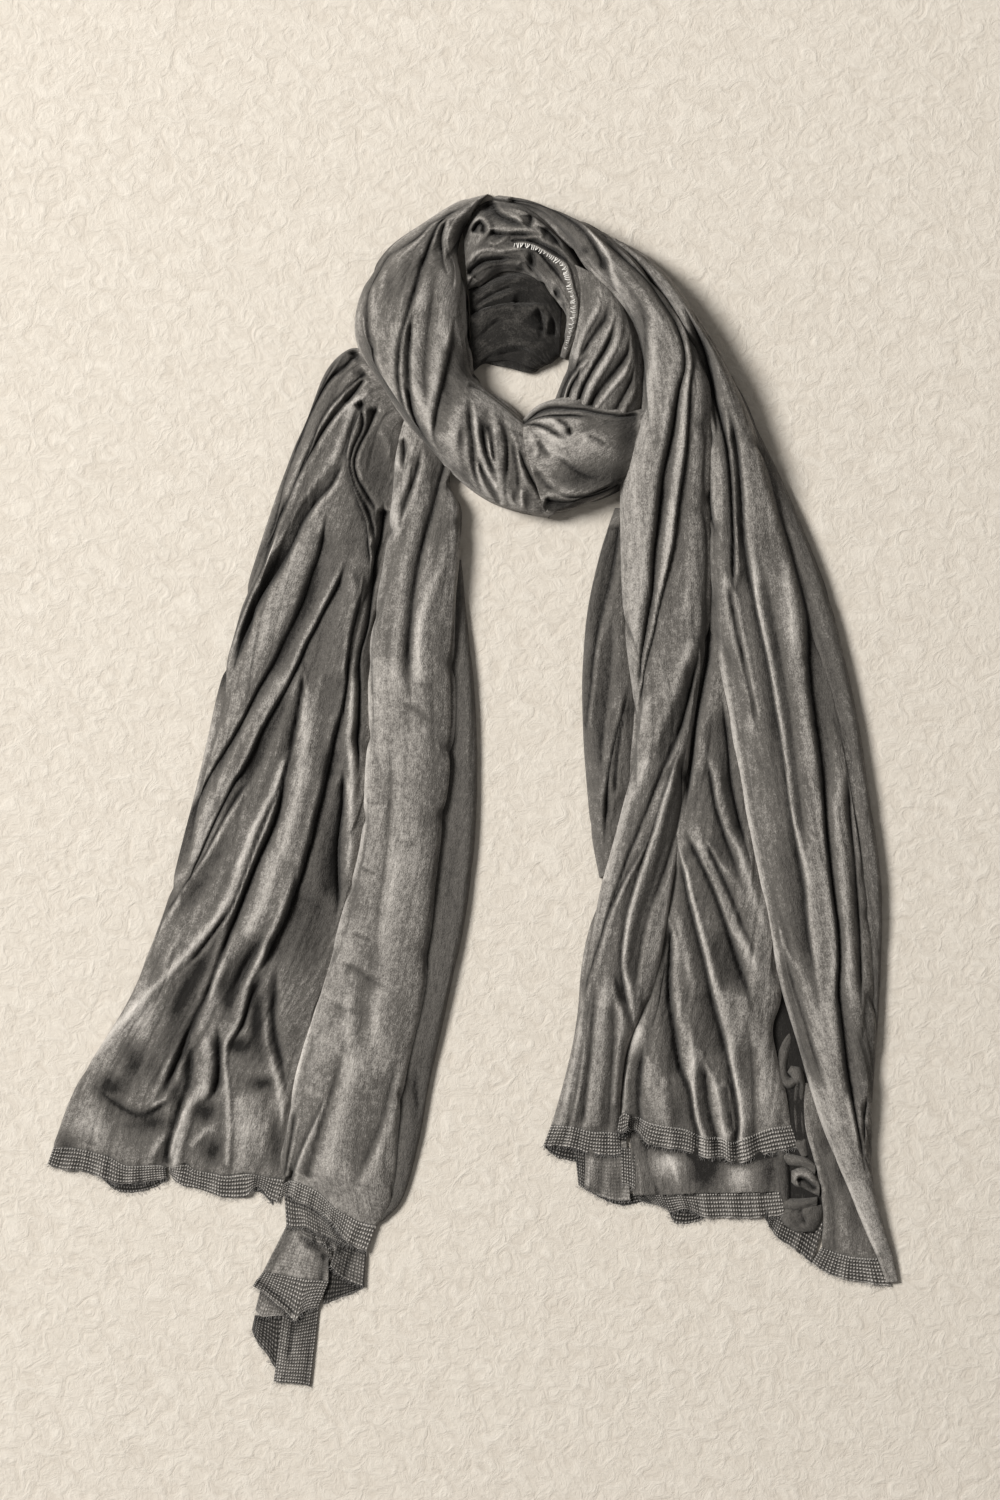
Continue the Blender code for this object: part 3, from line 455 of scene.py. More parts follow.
def clothMaterial(name, look):
    made, shader = newMaterial(name, rough=0.93, shine=0.15)
    tree = made.node_tree
    weave = addNode(tree, "ShaderNodeUVMap", uv_map="weave").outputs[0]
    where = addNode(tree, "ShaderNodeTexCoord").outputs["Object"]

    def streaks(scale, squeeze, detail):
        turn = addNode(tree, "ShaderNodeMapping", {"Vector": weave, "Scale": (1.0, squeeze, 1.0)})
        return noiseNode(tree, turn.outputs[0], scale, detail, 0.6)

    def added(first, second, gain):
        return maths(tree, "MULTIPLY_ADD", maths(tree, "ADD", second, -0.5), gain, first)

    # painted highlights and painted shade from the pale attribute (with some bleaching on the crests), then
    # mottling, clouds, streaks of yarn, flecks and crinkles
    total = addNode(tree, "ShaderNodeAttribute", attribute_name="pale").outputs["Fac"]
    total = added(total, noiseNode(tree, where, scale=26.0, detail=4.0, rough=0.6), look["mottle"])
    total = added(total, noiseNode(tree, where, scale=220.0, detail=4.0, rough=0.7), look["cloud"])
    total = added(total, streaks(scale=520.0, squeeze=0.16, detail=4.0), look["streak"])
    fine = streaks(scale=1100.0, squeeze=0.6, detail=2.0)
    total = added(total, fine, look["fleck"])
    crinkle = streaks(scale=300.0, squeeze=0.5, detail=3.0)
    total = added(total, crinkle, look["crinkle"])
    height = added(fine, crinkle, look["crinkleBump"])
    if look["ribs"]:
        waves = []
        for direction, pitch in (("Y", look["ribPitch"]), ("X", look["walePitch"])):
            scale = math.pi / 10 / pitch
            inputs = {"Vector": weave, "Scale": scale, "Distortion": 1.2, "Detail Scale": 1.5}
            wave = addNode(tree, "ShaderNodeTexWave", inputs, bands_direction=direction)
            waves.append(wave.outputs["Fac"])
        wales = maths(tree, "MULTIPLY_ADD", waves[1], 0.68, 0.32)
        both = maths(tree, "ADD", maths(tree, "MULTIPLY", waves[0], wales), -0.33)
        ribbed = addNode(tree, "ShaderNodeAttribute", attribute_name="ribs").outputs["Fac"]
        raised = maths(tree, "MULTIPLY", maths(tree, "MULTIPLY", both, look["ribs"]), ribbed)
        total = maths(tree, "ADD", total, raised)
        height = maths(tree, "MULTIPLY_ADD", raised, look["ribBump"], height)
    # the ramp runs from the colour of painted shade, through the cloth's own dyed colour, to the colour of
    # painted highlights and bleached crests
    span = addNode(tree, "ShaderNodeMapRange", {"Value": total, "From Min": -1.1, "From Max": 1.1})
    ramp = addNode(tree, "ShaderNodeValToRGB", {"Fac": span.outputs[0]})
    ramp.color_ramp.elements[0].color = (*look["dark"], 1)
    ramp.color_ramp.elements[1].color = (*look["litAndWorn"], 1)
    ramp.color_ramp.elements.new(0.5).color = (*look["dyed"], 1)
    tree.links.new(ramp.outputs["Color"], shader.inputs["Base Color"])
    shader.inputs["Sheen Weight"].default_value = look["sheen"]
    shader.inputs["Sheen Roughness"].default_value = 0.55
    shader.inputs["Sheen Tint"].default_value = (0.75, 0.73, 0.70, 1)
    bumpFrom(tree, shader, height, strength=1.0, distance=look["relief"])
    return made


def threadMaterial(name, colour):
    made, shader = newMaterial(name, rough=0.9, shine=0.1)
    shader.inputs["Base Color"].default_value = (*colour, 1)
    return made


# colours of painted shade, of the dyed cloth, and of painted highlights and bleached crests, then the cloth's
# own mottling, streaks and flecks
washed = {"dark": (0.014, 0.0128, 0.0115), "dyed": (0.112, 0.104, 0.094), "litAndWorn": (0.56, 0.527, 0.487),
          "mottle": 0.55, "cloud": 0.8, "streak": 0.7, "fleck": 1.2, "crinkle": 0.6, "sheen": 0.12,
          "relief": 0.0012, "crinkleBump": 1.4,
          "ribs": 0.0, "ribBump": 1.3, "ribPitch": 0.0028, "walePitch": 0.0023}
wovenEnd = dict(washed, dyed=(0.128, 0.119, 0.108), ribs=2.1)
materials = {"cloth": clothMaterial("washed cotton", washed),
             "woven_end": clothMaterial("woven end", wovenEnd),
             "edge_thread": threadMaterial("edge thread", (0.80, 0.78, 0.74))}


# a Geometry Nodes tree that sets short bent threads along a line of edges, square to it
def threadTree(name, material, seed):
    tree = bpy.data.node_groups.new(name, "GeometryNodeTree")
    tree.interface.new_socket("Geometry", in_out="INPUT", socket_type="NodeSocketGeometry")
    for label in ("Pitch", "Length", "Radius", "Bow", "Inward", "Spread", "Least", "Most"):
        tree.interface.new_socket(label, in_out="INPUT", socket_type="NodeSocketFloat")
    tree.interface.new_socket("Geometry", in_out="OUTPUT", socket_type="NodeSocketGeometry")
    given = tree.nodes.new("NodeGroupInput").outputs

    def made(kind, inputs=(), output=0, **settings):
        return addNode(tree, kind, inputs, **settings).outputs[output]

    def point(x, y, z):
        return made("ShaderNodeCombineXYZ", enumerate((x, y, z)))

    def times(label, factor):
        return maths(tree, "MULTIPLY", given[label], factor)

    curve = made("GeometryNodeMeshToCurve", {"Mesh": given["Geometry"]})
    even = made("GeometryNodeResampleCurve", {"Curve": curve, "Length": given["Pitch"]}, mode="LENGTH")
    thread = made("GeometryNodeCurveQuadraticBezier", {
        "Resolution": 4, "Start": point(0.0, given["Inward"], 0.0),
        "Middle": point(times("Length", 0.12), times("Length", -0.5), given["Bow"]),
        "End": point(times("Length", -0.1), times("Length", -1.0), 0.0)})
    circle = made("GeometryNodeCurvePrimitiveCircle", {"Resolution": 4, "Radius": given["Radius"]})
    body = made("GeometryNodeCurveToMesh", {"Fill Caps": True, "Curve": thread, "Profile Curve": circle})
    way = made("GeometryNodeInputTangent")
    along = made("FunctionNodeAlignRotationToVector", {"Vector": way}, axis="X")
    low = point(-0.05, -0.05, times("Spread", -1.0))
    high = point(0.05, 0.05, given["Spread"])
    turn = made("FunctionNodeRandomValue", {0: low, 1: high, "Seed": seed}, data_type="FLOAT_VECTOR")
    rotation = made("FunctionNodeEulerToRotation", {0: turn})
    turned = made("FunctionNodeRotateRotation", {0: along, 1: rotation}, rotation_space="LOCAL")
    size = made("FunctionNodeRandomValue", {2: given["Least"], 3: given["Most"], "Seed": seed + 1}, 1,
                data_type="FLOAT")
    spread = made("GeometryNodeInstanceOnPoints",
                  {"Points": even, "Instance": body, "Rotation": turned, "Scale": size})
    real = made("GeometryNodeRealizeInstances", {0: spread})
    painted = made("GeometryNodeSetMaterial", {"Geometry": real, "Material": material})
    addNode(tree, "NodeGroupOutput", {0: painted})
    return tree


# lines of points in millimetres become rows of threads, as one plain mesh
def threadPiece(name, lines, tree, sizes):
    points, edges = [], []
    for line in lines:
        first = len(points)
        points += [((x + centreShift[0]) * mm, (y + centreShift[1]) * mm, z * mm) for x, y, z in line]
        edges += [(k, k + 1) for k in range(first, len(points) - 1)]
    mesh = bpy.data.meshes.new(name + " line")
    mesh.from_pydata(points, edges, [])
    made = bpy.data.objects.new(name, mesh)
    bpy.context.scene.collection.objects.link(made)
    rows = made.modifiers.new("threads", "NODES")
    rows.node_group = tree
    for item in tree.interface.items_tree:
        if item.in_out == "INPUT" and item.name in sizes:
            rows[item.identifier] = sizes[item.name]
    evaluated = made.evaluated_get(bpy.context.evaluated_depsgraph_get())
    plain = bpy.data.meshes.new_from_object(evaluated)
    made.modifiers.clear()
    made.data = plain
    print(f"{name}: {len(plain.polygons)} faces")
    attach(made, "root")
    return made


# one object from several parts, with a wall where it has one, standing for its CAD nodes
def makePiece(name, parts, slotName, nodes, flat, wall=None):
    counts = np.cumsum([0] + [len(part["points"]) for part in parts])
    points = np.vstack([part["points"] for part in parts]) * mm
    points[:, 0] += centreShift[0] * mm
    points[:, 1] += centreShift[1] * mm
    faces = np.vstack([part["faces"] + count for part, count in zip(parts, counts)])
    uv = np.vstack([part["uv"] for part in parts]) * mm
    mesh = bpy.data.meshes.new(name)
    mesh.from_pydata(points.tolist(), [], faces.tolist())
    layer = mesh.uv_layers.new(name="weave")
    layer.data.foreach_set("uv", uv[faces.ravel()].ravel().astype(np.float32))
    fields = {"pale": np.clip(np.concatenate([part["pale"] for part in parts]), -1.2, 1.2)}
    if slotName == "woven_end":
        fields["ribs"] = np.concatenate([part["ribs"] for part in parts])
    for label, values in fields.items():
        mesh.attributes.new(label, "FLOAT", "POINT").data.foreach_set("value", values.astype(np.float32))
    mesh.shade_smooth()
    mesh.update()
    if sum(p.normal.z * p.area for p in mesh.polygons) < 0:
        mesh.flip_normals()
    mesh.materials.append(materials[slotName])
    made = bpy.data.objects.new(name, mesh)
    bpy.context.scene.collection.objects.link(made)
    if wall:
        thick = made.modifiers.new("wall", "SOLIDIFY")
        thick.thickness = wall * mm
        thick.offset = -1.0
    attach(made, "root")
    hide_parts(*nodes)
    area = sum(p.area for p in mesh.polygons)
    print(f"{name}: {len(mesh.polygons)} faces, {area:.4f} m2, share {area / flat[0] / flat[1]:.2f}")


# a main sheet of cloth from its dictionary; its part is kept for the ends that are sewn to it
def clothPiece(name, look, node, flat):
    part = stretch(**look)
    makePiece(name, [part], "cloth", [node], flat)
    return part


print("left tail")
leftOuter = {
    "sections": profile(tail, (-84, 372, -50, 318, 0.8), (-106, 374, -54, 308, 0.9),
        (-131, 345, -58, 290, 1.0), (-160, 266, -60, 238, 1.1), (-184, 196, -72, 180, 1.15),
        (-206, 124, -82, 112, 1.15), (-223, 48, -83, 44, 1.1), (-241, -25, -86, -24, 1.05),
        (-262, -100, -101, -100, 1.0), (-293, -176, -122, -172, 0.9), (-335, -248, -143, -244, 0.7),
        (-356, -303, -155, -322, 0.42), (-359, -314, -158, -330, 0.3)),
    "strokes": [
        slot([(-99, 379), (-115, 364), (-126, 346), (-137, 324), (-145, 302), (-153, 280), (-160, 258),
            (-165, 240), (-174, 216), (-184, 192)], 3, -0.5),
        slot([(-97, 372), (-108, 360), (-120, 350), (-130, 335), (-138, 320), (-145, 305), (-150, 290),
            (-155, 278)], 9, -0.9, (2, 20)),
        ridge([(-91, 358), (-105, 345), (-113, 332), (-121, 320), (-131, 306), (-141, 290), (-150, 270),
            (-157, 252), (-163, 236)], 3.5, 2.8, 0.6),
        slot([(-90, 354), (-104, 343), (-117, 330), (-128, 314), (-137, 293), (-145, 276), (-152, 258),
            (-159, 238), (-164, 223)], 4, -0.6, (2, 20)),
        lap([(-90, 350), (-97, 340), (-105, 330), (-115, 318), (-125, 305), (-133, 293), (-143, 275),
            (-152, 257), (-160, 240), (-167, 225), (-178, 190), (-189, 166), (-198, 146), (-207, 122),
            (-211, 104), (-216, 72)], 3.5, 7, -1, 6, 0.55, (4, 30)),
        ridge([(-86, 338), (-98, 330), (-102, 322), (-107, 308), (-112, 295), (-117, 283), (-122, 275),
            (-130, 265), (-141, 250), (-150, 236), (-161, 214), (-173, 197), (-186, 177), (-195, 161),
            (-202, 143), (-207, 121), (-213, 99), (-218, 78)], 3.2, 3.2, 0.65, (4, 30)),
        lap([(-103, 300), (-107, 290), (-110, 275), (-118, 259), (-130, 246), (-142, 229), (-149, 214),
            (-156, 200), (-165, 184), (-174, 170), (-183, 154), (-190, 137), (-196, 121), (-202, 104)], 3.5,
            12, -1, 6, 0.6, (6, 34)),
        ridge([(-152, 212), (-160, 197), (-170, 182), (-179, 166), (-187, 150), (-194, 134), (-200, 116),
            (-206, 98)], -5, 4.4, -1.9, (14, 30)),
        ridge([(-138, 226), (-146, 205), (-156, 176), (-169, 150), (-180, 127), (-191, 103), (-202, 78),
            (-213, 55), (-224, 33), (-235, 5)], 1.8, 8, 0.4, (30, 40)),
        ridge([(-146, 156), (-156, 138), (-167, 117), (-178, 96), (-190, 74), (-203, 54), (-215, 34),
            (-227, 11), (-237, -10), (-245, -32), (-251, -56), (-258, -80)], 2.0, 2.4, 0.55, (24, 24)),
        lap([(-124, 238), (-126, 222), (-131, 201), (-137, 184), (-143.5, 164), (-152, 145), (-161, 127),
            (-170, 108), (-181, 89), (-192, 68), (-203, 48), (-213, 32), (-224, 13), (-232, -3), (-240, -22),
            (-245, -40), (-250, -60), (-256, -76), (-262, -94)], 2.2, 5, 1, 4.5, 0.3, (8, 24)),
        ridge([(-126, 200), (-134, 178), (-143, 155), (-153, 135), (-163, 116), (-173, 98)], -1.6, 5, -0.8,
            (24, 24)),
        ridge([(-150, 114), (-160, 99), (-173, 80), (-186, 60), (-201, 35), (-212, 12), (-223, -8),
            (-232, -29), (-239, -51), (-249, -72), (-259, -92)], 2.8, 4.6, 0.65, (30, 24)),
        lap([(-104, 200), (-109, 190), (-117, 171), (-126, 154), (-134, 138), (-141, 125), (-147, 110),
            (-154, 95), (-161, 82), (-169, 69), (-178, 53), (-185, 38), (-194, 20), (-204, 5), (-213, -12),
            (-220, -27), (-227, -42), (-234, -58), (-243, -76), (-252, -94), (-262, -110)], 2.6, 7, 1, 5, 0.3,
            (10, 24)),
        ridge([(-149, 90), (-158, 74), (-167, 57), (-176, 40), (-185, 22), (-195, 4), (-206, -14),
            (-216, -32)], -2.8, 6, -1.0, (26, 24)),
        lap([(-182, 22), (-187, 12), (-195, -1), (-206, -18), (-217, -38), (-227, -56), (-241, -77),
            (-255, -99), (-269, -122)], 3, 9, -1, 3, 0.9, (16, 30)),
        ridge([(-200, -30), (-212, -50), (-224, -68), (-235, -88), (-246, -105), (-257, -122)], -1.8, 5, -0.6,
            (20, 30)),
        ridge([(-243, -115), (-253, -132), (-262, -146), (-268, -156)], 1.4, 3, 0.35, (14, 14)),
        ridge([(-152, 46), (-156, 30), (-161, 20), (-167, 3), (-176, -16), (-186, -35), (-194, -56),
            (-201, -75), (-208, -93), (-217, -109), (-227, -121), (-237, -133), (-248, -145), (-260, -157),
            (-272, -168), (-284, -181), (-296, -194), (-308, -206), (-320, -222), (-330, -240)], 3.6, 3.6,
            0.85, (24, 40)),
        cleft([(-152, 45), (-158, 21), (-164, 1), (-171.5, -16), (-180, -37), (-188, -57), (-196, -79),
            (-204, -99), (-215, -115), (-227, -131), (-240, -147), (-250, -160)], 4.5, -0.8, (14, 16)),
        ridge([(-222, -134), (-232, -152), (-243, -170), (-252, -187), (-258, -200)], -4, 5, -1.5, (14, 20)),
        roll([(-160, 14), (-166, -8), (-173, -27), (-181, -45), (-188, -62), (-194, -77), (-203, -99),
            (-210, -120), (-217, -141), (-226, -164), (-235, -186), (-245, -205), (-254, -224), (-263, -244),
            (-270, -258), (-278, -268)], 4.4, 3.8, 1.0, (14, 10)),
        slot([(-143, 119), (-144, 90), (-147.5, 69), (-152, 45), (-156, 25), (-160, 7), (-163, -10),
            (-167, -26), (-174, -43), (-182, -60), (-189, -78), (-197, -99), (-208, -127), (-218, -151),
            (-225, -172), (-232, -186), (-242, -207), (-248, -226), (-257, -245), (-262, -258), (-269, -268)],
            6, -0.9, (8, 10)),
        ridge([(-139, 92), (-140, 64), (-141, 38), (-143.5, 20), (-148, -1), (-153, -23), (-159, -44),
            (-166, -60), (-172, -76), (-178, -95), (-187, -114), (-196, -130), (-207, -145), (-217, -160),
            (-224, -177), (-231, -193), (-236, -207)], 3.4, 6, 0.65, (24, 14)),
        ridge([(-182, -130), (-192, -148), (-201, -165), (-208, -183), (-210, -200)], -4, 4.6, -1.4,
            (14, 14)),
        slot([(-172, -114), (-181, -130), (-192, -147), (-199, -162), (-203, -178), (-205, -194)], 4, -0.9,
            (14, 8)),
        roll([(-150, -66), (-156, -85), (-165, -110), (-174, -129), (-183, -147), (-189.5, -162),
            (-193.5, -179), (-197, -193), (-203, -204), (-208, -212), (-210, -222), (-210, -238),
            (-208, -250), (-207, -268), (-207, -290), (-208, -316)], 3.8, 3.4, 0.75, (24, 0)),
        cleft([(-176, -152), (-182, -164), (-187.5, -176), (-191.5, -188), (-195, -199), (-201, -209),
            (-206, -216)], 5, -0.85, (10, 6)),
        patch(-198, -217, 9, 6, -1.1, -3), patch(-183, -192, 6, 26, -0.9, -2),
        ridge([(-173, -154), (-174, -174), (-175, -193), (-174, -212), (-170, -229), (-166.5, -243),
            (-163, -259), (-161.5, -276), (-160, -300)], 3.4, 3.6, 0.95, (16, 10)),
        slot([(-165, -150), (-168, -175), (-168.5, -195), (-166, -214), (-162, -231), (-158, -250)], 4.5,
            -0.7, (16, 14)),
        cleft([(-216, -198), (-215.5, -212), (-215, -226), (-216, -244), (-219, -256), (-226, -265)], 6, -0.9,
            (8, 8)),
        roll([(-230, -196), (-227, -207), (-224, -220), (-223, -233), (-225, -246), (-231, -258),
            (-239, -266), (-244, -280), (-248, -293), (-251, -306), (-252, -319)], 4.2, 7, 0.9, (8, 0)),
        ridge([(-237, -261), (-243, -269), (-247, -280), (-251, -292), (-255, -304), (-257, -314)], 1.8, 1.5,
            0.65, (6, 4)),
        cleft([(-237, -208), (-239, -222), (-240, -238), (-242, -252), (-246, -262), (-250, -274),
            (-254.5, -287), (-258, -300), (-260, -315)], 4.5, -0.8, (8, 0)),
        ridge([(-277, -272), (-266, -265), (-253, -256)], 2.2, 2.2, 0.55, (6, 6)),
        slot([(-319, -252), (-309, -262), (-298, -269), (-288, -274.5), (-278, -275.5), (-268, -270),
            (-258, -264), (-249, -258)], 3.6, -0.75, (10, 6)),
        patch(-306, -252, 13, 9, -1.0, -3), patch(-288, -230, 9, 16, -0.8, -2.5),
        patch(-270, -283, 16, 7, -0.6, -1.5), patch(-280, -196, 16, 20, 0.4, 1),
        patch(-318, -285, 20, 14, 0.3, 1), patch(-345, -303, 8, 10, -0.6, -1.5),
        patch(-262, -236, 6, 22, 0.3, 0.8),
        ridge([(-247, -281), (-259, -292), (-269, -304), (-276, -314)], 2, 3, 0.45, (8, 6)),
        ridge([(-213, -281), (-224, -287), (-234, -297), (-243, -309)], 2.4, 2.6, 0.55, (8, 6)),
        patch(-227, -273, 9, 9, -1.0, -2.5), patch(-221, -306, 9, 10, -0.8, -2),
        patch(-241, -226, 5, 18, -0.8, -2), patch(-252, -258, 6, 10, -0.6, -1.5),
        ridge([(-198, -252), (-197, -275), (-196, -318)], 2, 7, 0.4, (14, 0)),
        patch(-179, -249, 11, 6, -0.9, -2), patch(-186, -288, 12, 16, 0.35, 1.0),
        patch(-166, -300, 6, 18, -0.7, -1.5),
        lap([(-93, 185), (-95, 170), (-99, 152), (-103, 135), (-106, 112), (-108, 90), (-114, 60), (-119, 39),
            (-123, 20), (-128, -2), (-133, -21), (-137, -40), (-142, -57), (-146, -72), (-153, -89),
            (-159, -106), (-164, -117), (-172, -132), (-178, -149), (-183, -159)], 5, 14, 1, 5, 0.1),
        slot([(-108, 30), (-109, 12), (-110, -12), (-113, -40), (-114, -64), (-114, -93), (-116, -110)], 9,
            -0.9),
        patch(-122, -30, 12, 90, -0.35, -4), patch(-134, -110, 16, 50, -0.3, -3),
        ridge([(-96, 112), (-99, 95), (-101, 75), (-102, 40), (-101, 3), (-101, -30), (-104, -62),
            (-108, -88)], 5.5, 4.2, 0.85, (14, 14)),
        slot([(-104, 120), (-107, 90), (-110, 60), (-112, 40)], 7, -0.8),
        lap([(-92, 325), (-101, 304), (-105, 286), (-104, 270), (-101, 258), (-95, 243), (-90, 230),
            (-87, 215), (-86, 200), (-86, 183), (-88, 168)], 6, 4, -1, 10, 0.85, (4, 14)),
        lap([(-80, 325), (-86, 308), (-94, 292), (-98, 279), (-96, 266), (-89, 253), (-81, 238), (-76, 222)],
            6, 4, -1, 10, 0.75, (4, 20)),
        slot([(-95, 330), (-92, 310), (-100, 290), (-102, 275), (-98, 258), (-90, 242), (-84, 226),
            (-81, 205), (-82, 190)], 10, -0.9, (2, 12)),
        slot([(-74, 240), (-77, 215), (-80, 200), (-83, 180), (-87, 145), (-90, 130), (-94, 115), (-95, 80),
            (-96, 45), (-96, 10)], 12, -1.0, (4, 30)),
        patch(-78, 275, 12, 34, -0.45, -5),
        ridge([(-80, 304), (-74, 300), (-71, 290), (-72, 276)], 3, 2.6, 0.4, (4, 10))],
    "seam": [(-356, -303), (-339, -303), (-321, -307), (-308, -311), (-295, -318), (-282, -318.5),
        (-266, -318), (-257, -320), (-243, -317), (-235, -322), (-219, -325), (-209, -327), (-191, -325),
        (-176, -328), (-160, -330)],
    "seed": 11, "tone": -0.1, "gain": 1.25, "closed": (False, False)}
leftPanel = {
    "sections": profile(tail, (-60, 320, -6, 292, 0.8), (-66, 280, -18, 262, 1.1), (-70, 238, -8, 236, 1.25),
        (-80, 180, -12, 178, 1.3), (-90, 112, -14, 110, 1.3), (-90, 44, -15.5, 42, 1.3),
        (-94, -24, -23, -24, 1.25), (-110, -99, -31, -98, 1.2), (-131, -172, -40, -172, 1.1),
        (-151, -244, -57, -246, 1.0), (-162, -306, -65, -332, 0.8), (-158, -330, -74, -362, 0.52),
        (-157, -340, -80, -370, 0.4)),
    "strokes": [
        ridge([(-49, 290), (-57, 262), (-64, 245), (-67, 225), (-71, 205)], 5, 4.5, 0.85, (6, 20)),
        slot([(-42, 300), (-45, 280), (-50, 262), (-56, 246), (-60, 232), (-62, 218)], 6, -0.8, (8, 12)),
        ridge([(-32, 272), (-38, 249), (-45, 230), (-51, 210), (-56, 190), (-59, 170), (-62, 137), (-64, 104),
            (-66, 70)], 5, 6.5, 0.75, (6, 60)),
        slot([(-17, 304), (-21, 286), (-27, 264), (-33, 240), (-40, 215), (-46, 192), (-51, 160), (-54, 126),
            (-54, 104), (-52, 80)], 6, -0.75, (4, 40)),
        ridge([(-20, 222), (-23, 206), (-27, 190), (-33, 172), (-42, 150), (-45, 126), (-44, 100), (-43, 70)],
            4, 4.5, 0.7, (10, 40)),
        ridge([(-65, 310), (-64, 296), (-63, 282), (-65, 266)], 4, 3, 0.6, (6, 10)),
        slot([(-58, 300), (-58, 284), (-61, 270)], 5, -0.6, (4, 8)),
        ridge([(-84, 160), (-88, 130), (-90, 100), (-88, 60), (-90, 20), (-92, -20), (-96, -48), (-106, -84),
            (-116, -120), (-129, -160), (-142, -210), (-156, -270), (-160, -305)], 1.2, 2.4, 0.75, (20, 10)),
        ridge([(-78, 120), (-76, 60), (-78, 0), (-82, -60), (-90, -110)], 1.5, 8, 0.22, (40, 40)),
        ridge([(-58, 60), (-60, 0), (-64, -60), (-72, -120), (-80, -170)], 1.8, 9, 0.25, (40, 40)),
        slot([(-68, 40), (-70, -20), (-76, -80), (-86, -140)], 1.6, -0.2, (40, 40)),
        slot([(-63, 76), (-56, 72), (-48, 69), (-40, 62), (-30, 58)], 1.2, -0.3, (8, 10)),
        slot([(-50, 92), (-40, 89), (-28, 84)], 0.8, -0.22, (8, 8)),
        slot([(-93, 2), (-84, 2), (-75, -1)], 1.0, -0.28, (5, 8)),
        slot([(-92, -9), (-80, -10), (-66, -12)], 0.8, -0.22, (5, 8)),
        slot([(-97, -64), (-88, -68), (-76, -72)], 1.4, -0.35, (5, 8)),
        slot([(-70, -40), (-58, -44), (-44, -45)], 0.8, -0.2, (8, 8)),
        slot([(-112, -143), (-104, -149), (-97, -152), (-90, -158), (-82, -163), (-73, -167)], 1.8, -0.45,
            (8, 8)),
        slot([(-104, -120), (-94, -124), (-82, -128)], 1.0, -0.3, (8, 8)),
        slot([(-120, -180), (-108, -186), (-94, -188)], 1.2, -0.3, (8, 8)),
        patch(-84, -140, 9, 22, -0.3, -1.5), patch(-93, -190, 8, 26, -0.35, -1.8),
        patch(-104, -190, 5, 24, 0.3, 1.2), patch(-81, -197, 5, 22, 0.25, 1.0),
        patch(-100, -100, 8, 16, -0.2, -0.8), patch(-70, -80, 8, 30, 0.15, 0.6),
        patch(-60, -200, 10, 60, -0.22, 0), patch(-25, 210, 9, 46, -0.3, -2),
        patch(-28, 90, 10, 90, -0.32, -1), patch(-34, -60, 9, 90, -0.3, 0),
        ridge([(-50, -215), (-57, -242), (-64, -268), (-72, -292), (-84, -318), (-94, -340)], 3, 6, 0.3,
            (20, 20)),
        slot([(-62, -225), (-70, -255), (-78, -285), (-92, -318), (-104, -340)], 3, -0.35, (20, 6)),
        ridge([(-96, -210), (-104, -250), (-114, -290), (-124, -330)], 3, 7, 0.35, (20, 4)),
        slot([(-108, -215), (-118, -255), (-130, -295), (-140, -330)], 3, -0.35, (20, 4)),
        lap([(-113, -241), (-122, -255), (-128, -270), (-135, -285), (-142, -300), (-150, -320), (-155, -335),
            (-160, -345)], 4, 10, -1, 5, 0.6, (14, 0)),
        slot([(-148, -262), (-152, -285), (-156, -308), (-160, -330)], 5, -0.5, (12, 4))],
    "seam": [(-161, -334), (-153, -331), (-142, -335), (-129, -342), (-117, -354), (-105, -361), (-95, -366),
        (-81, -369)],
    "seed": 23, "tone": 0.12, "wrinkle": 0.6, "power": 3.2, "closed": (False, False)}
# a sheet deep under the others, darkened by painted shade through its tone
leftBack = {
    "sections": profile(tail, (-20, 196, -9.5, 196, 0.36), (-22, 150, -5, 150, 0.46), (-24, 92, 1, 92, 0.55),
        (-26, 30, 3.5, 30, 0.55), (-34, -40, 2, -40, 0.55), (-42, -110, -6, -110, 0.55),
        (-51, -180, -21, -180, 0.55), (-64, -246, -36, -246, 0.5), (-68, -300, -46, -300, 0.45),
        (-78, -344, -59, -346, 0.34), (-86, -362, -76, -366, 0.3)),
    "strokes": [
        slot([(-46, -226), (-48, -246), (-47, -262), (-46, -288)], 2, -0.5),
        ridge([(-10, 150), (-4, 90), (-3, 20), (-6, -60), (-14, -130), (-30, -215)], 1.2, 4, 0.2)],
    "seed": 31, "tone": -0.42, "wrinkle": 0.6}
outerPart = clothPiece("left_outer_cloth", leftOuter, "tail_left_outer", (0.20, 0.70))
panelPart = clothPiece("left_panel_cloth", leftPanel, "tail_left_panel", (0.095, 0.72))
clothPiece("left_back_cloth", leftBack, "tail_left_back", (0.05, 0.57))

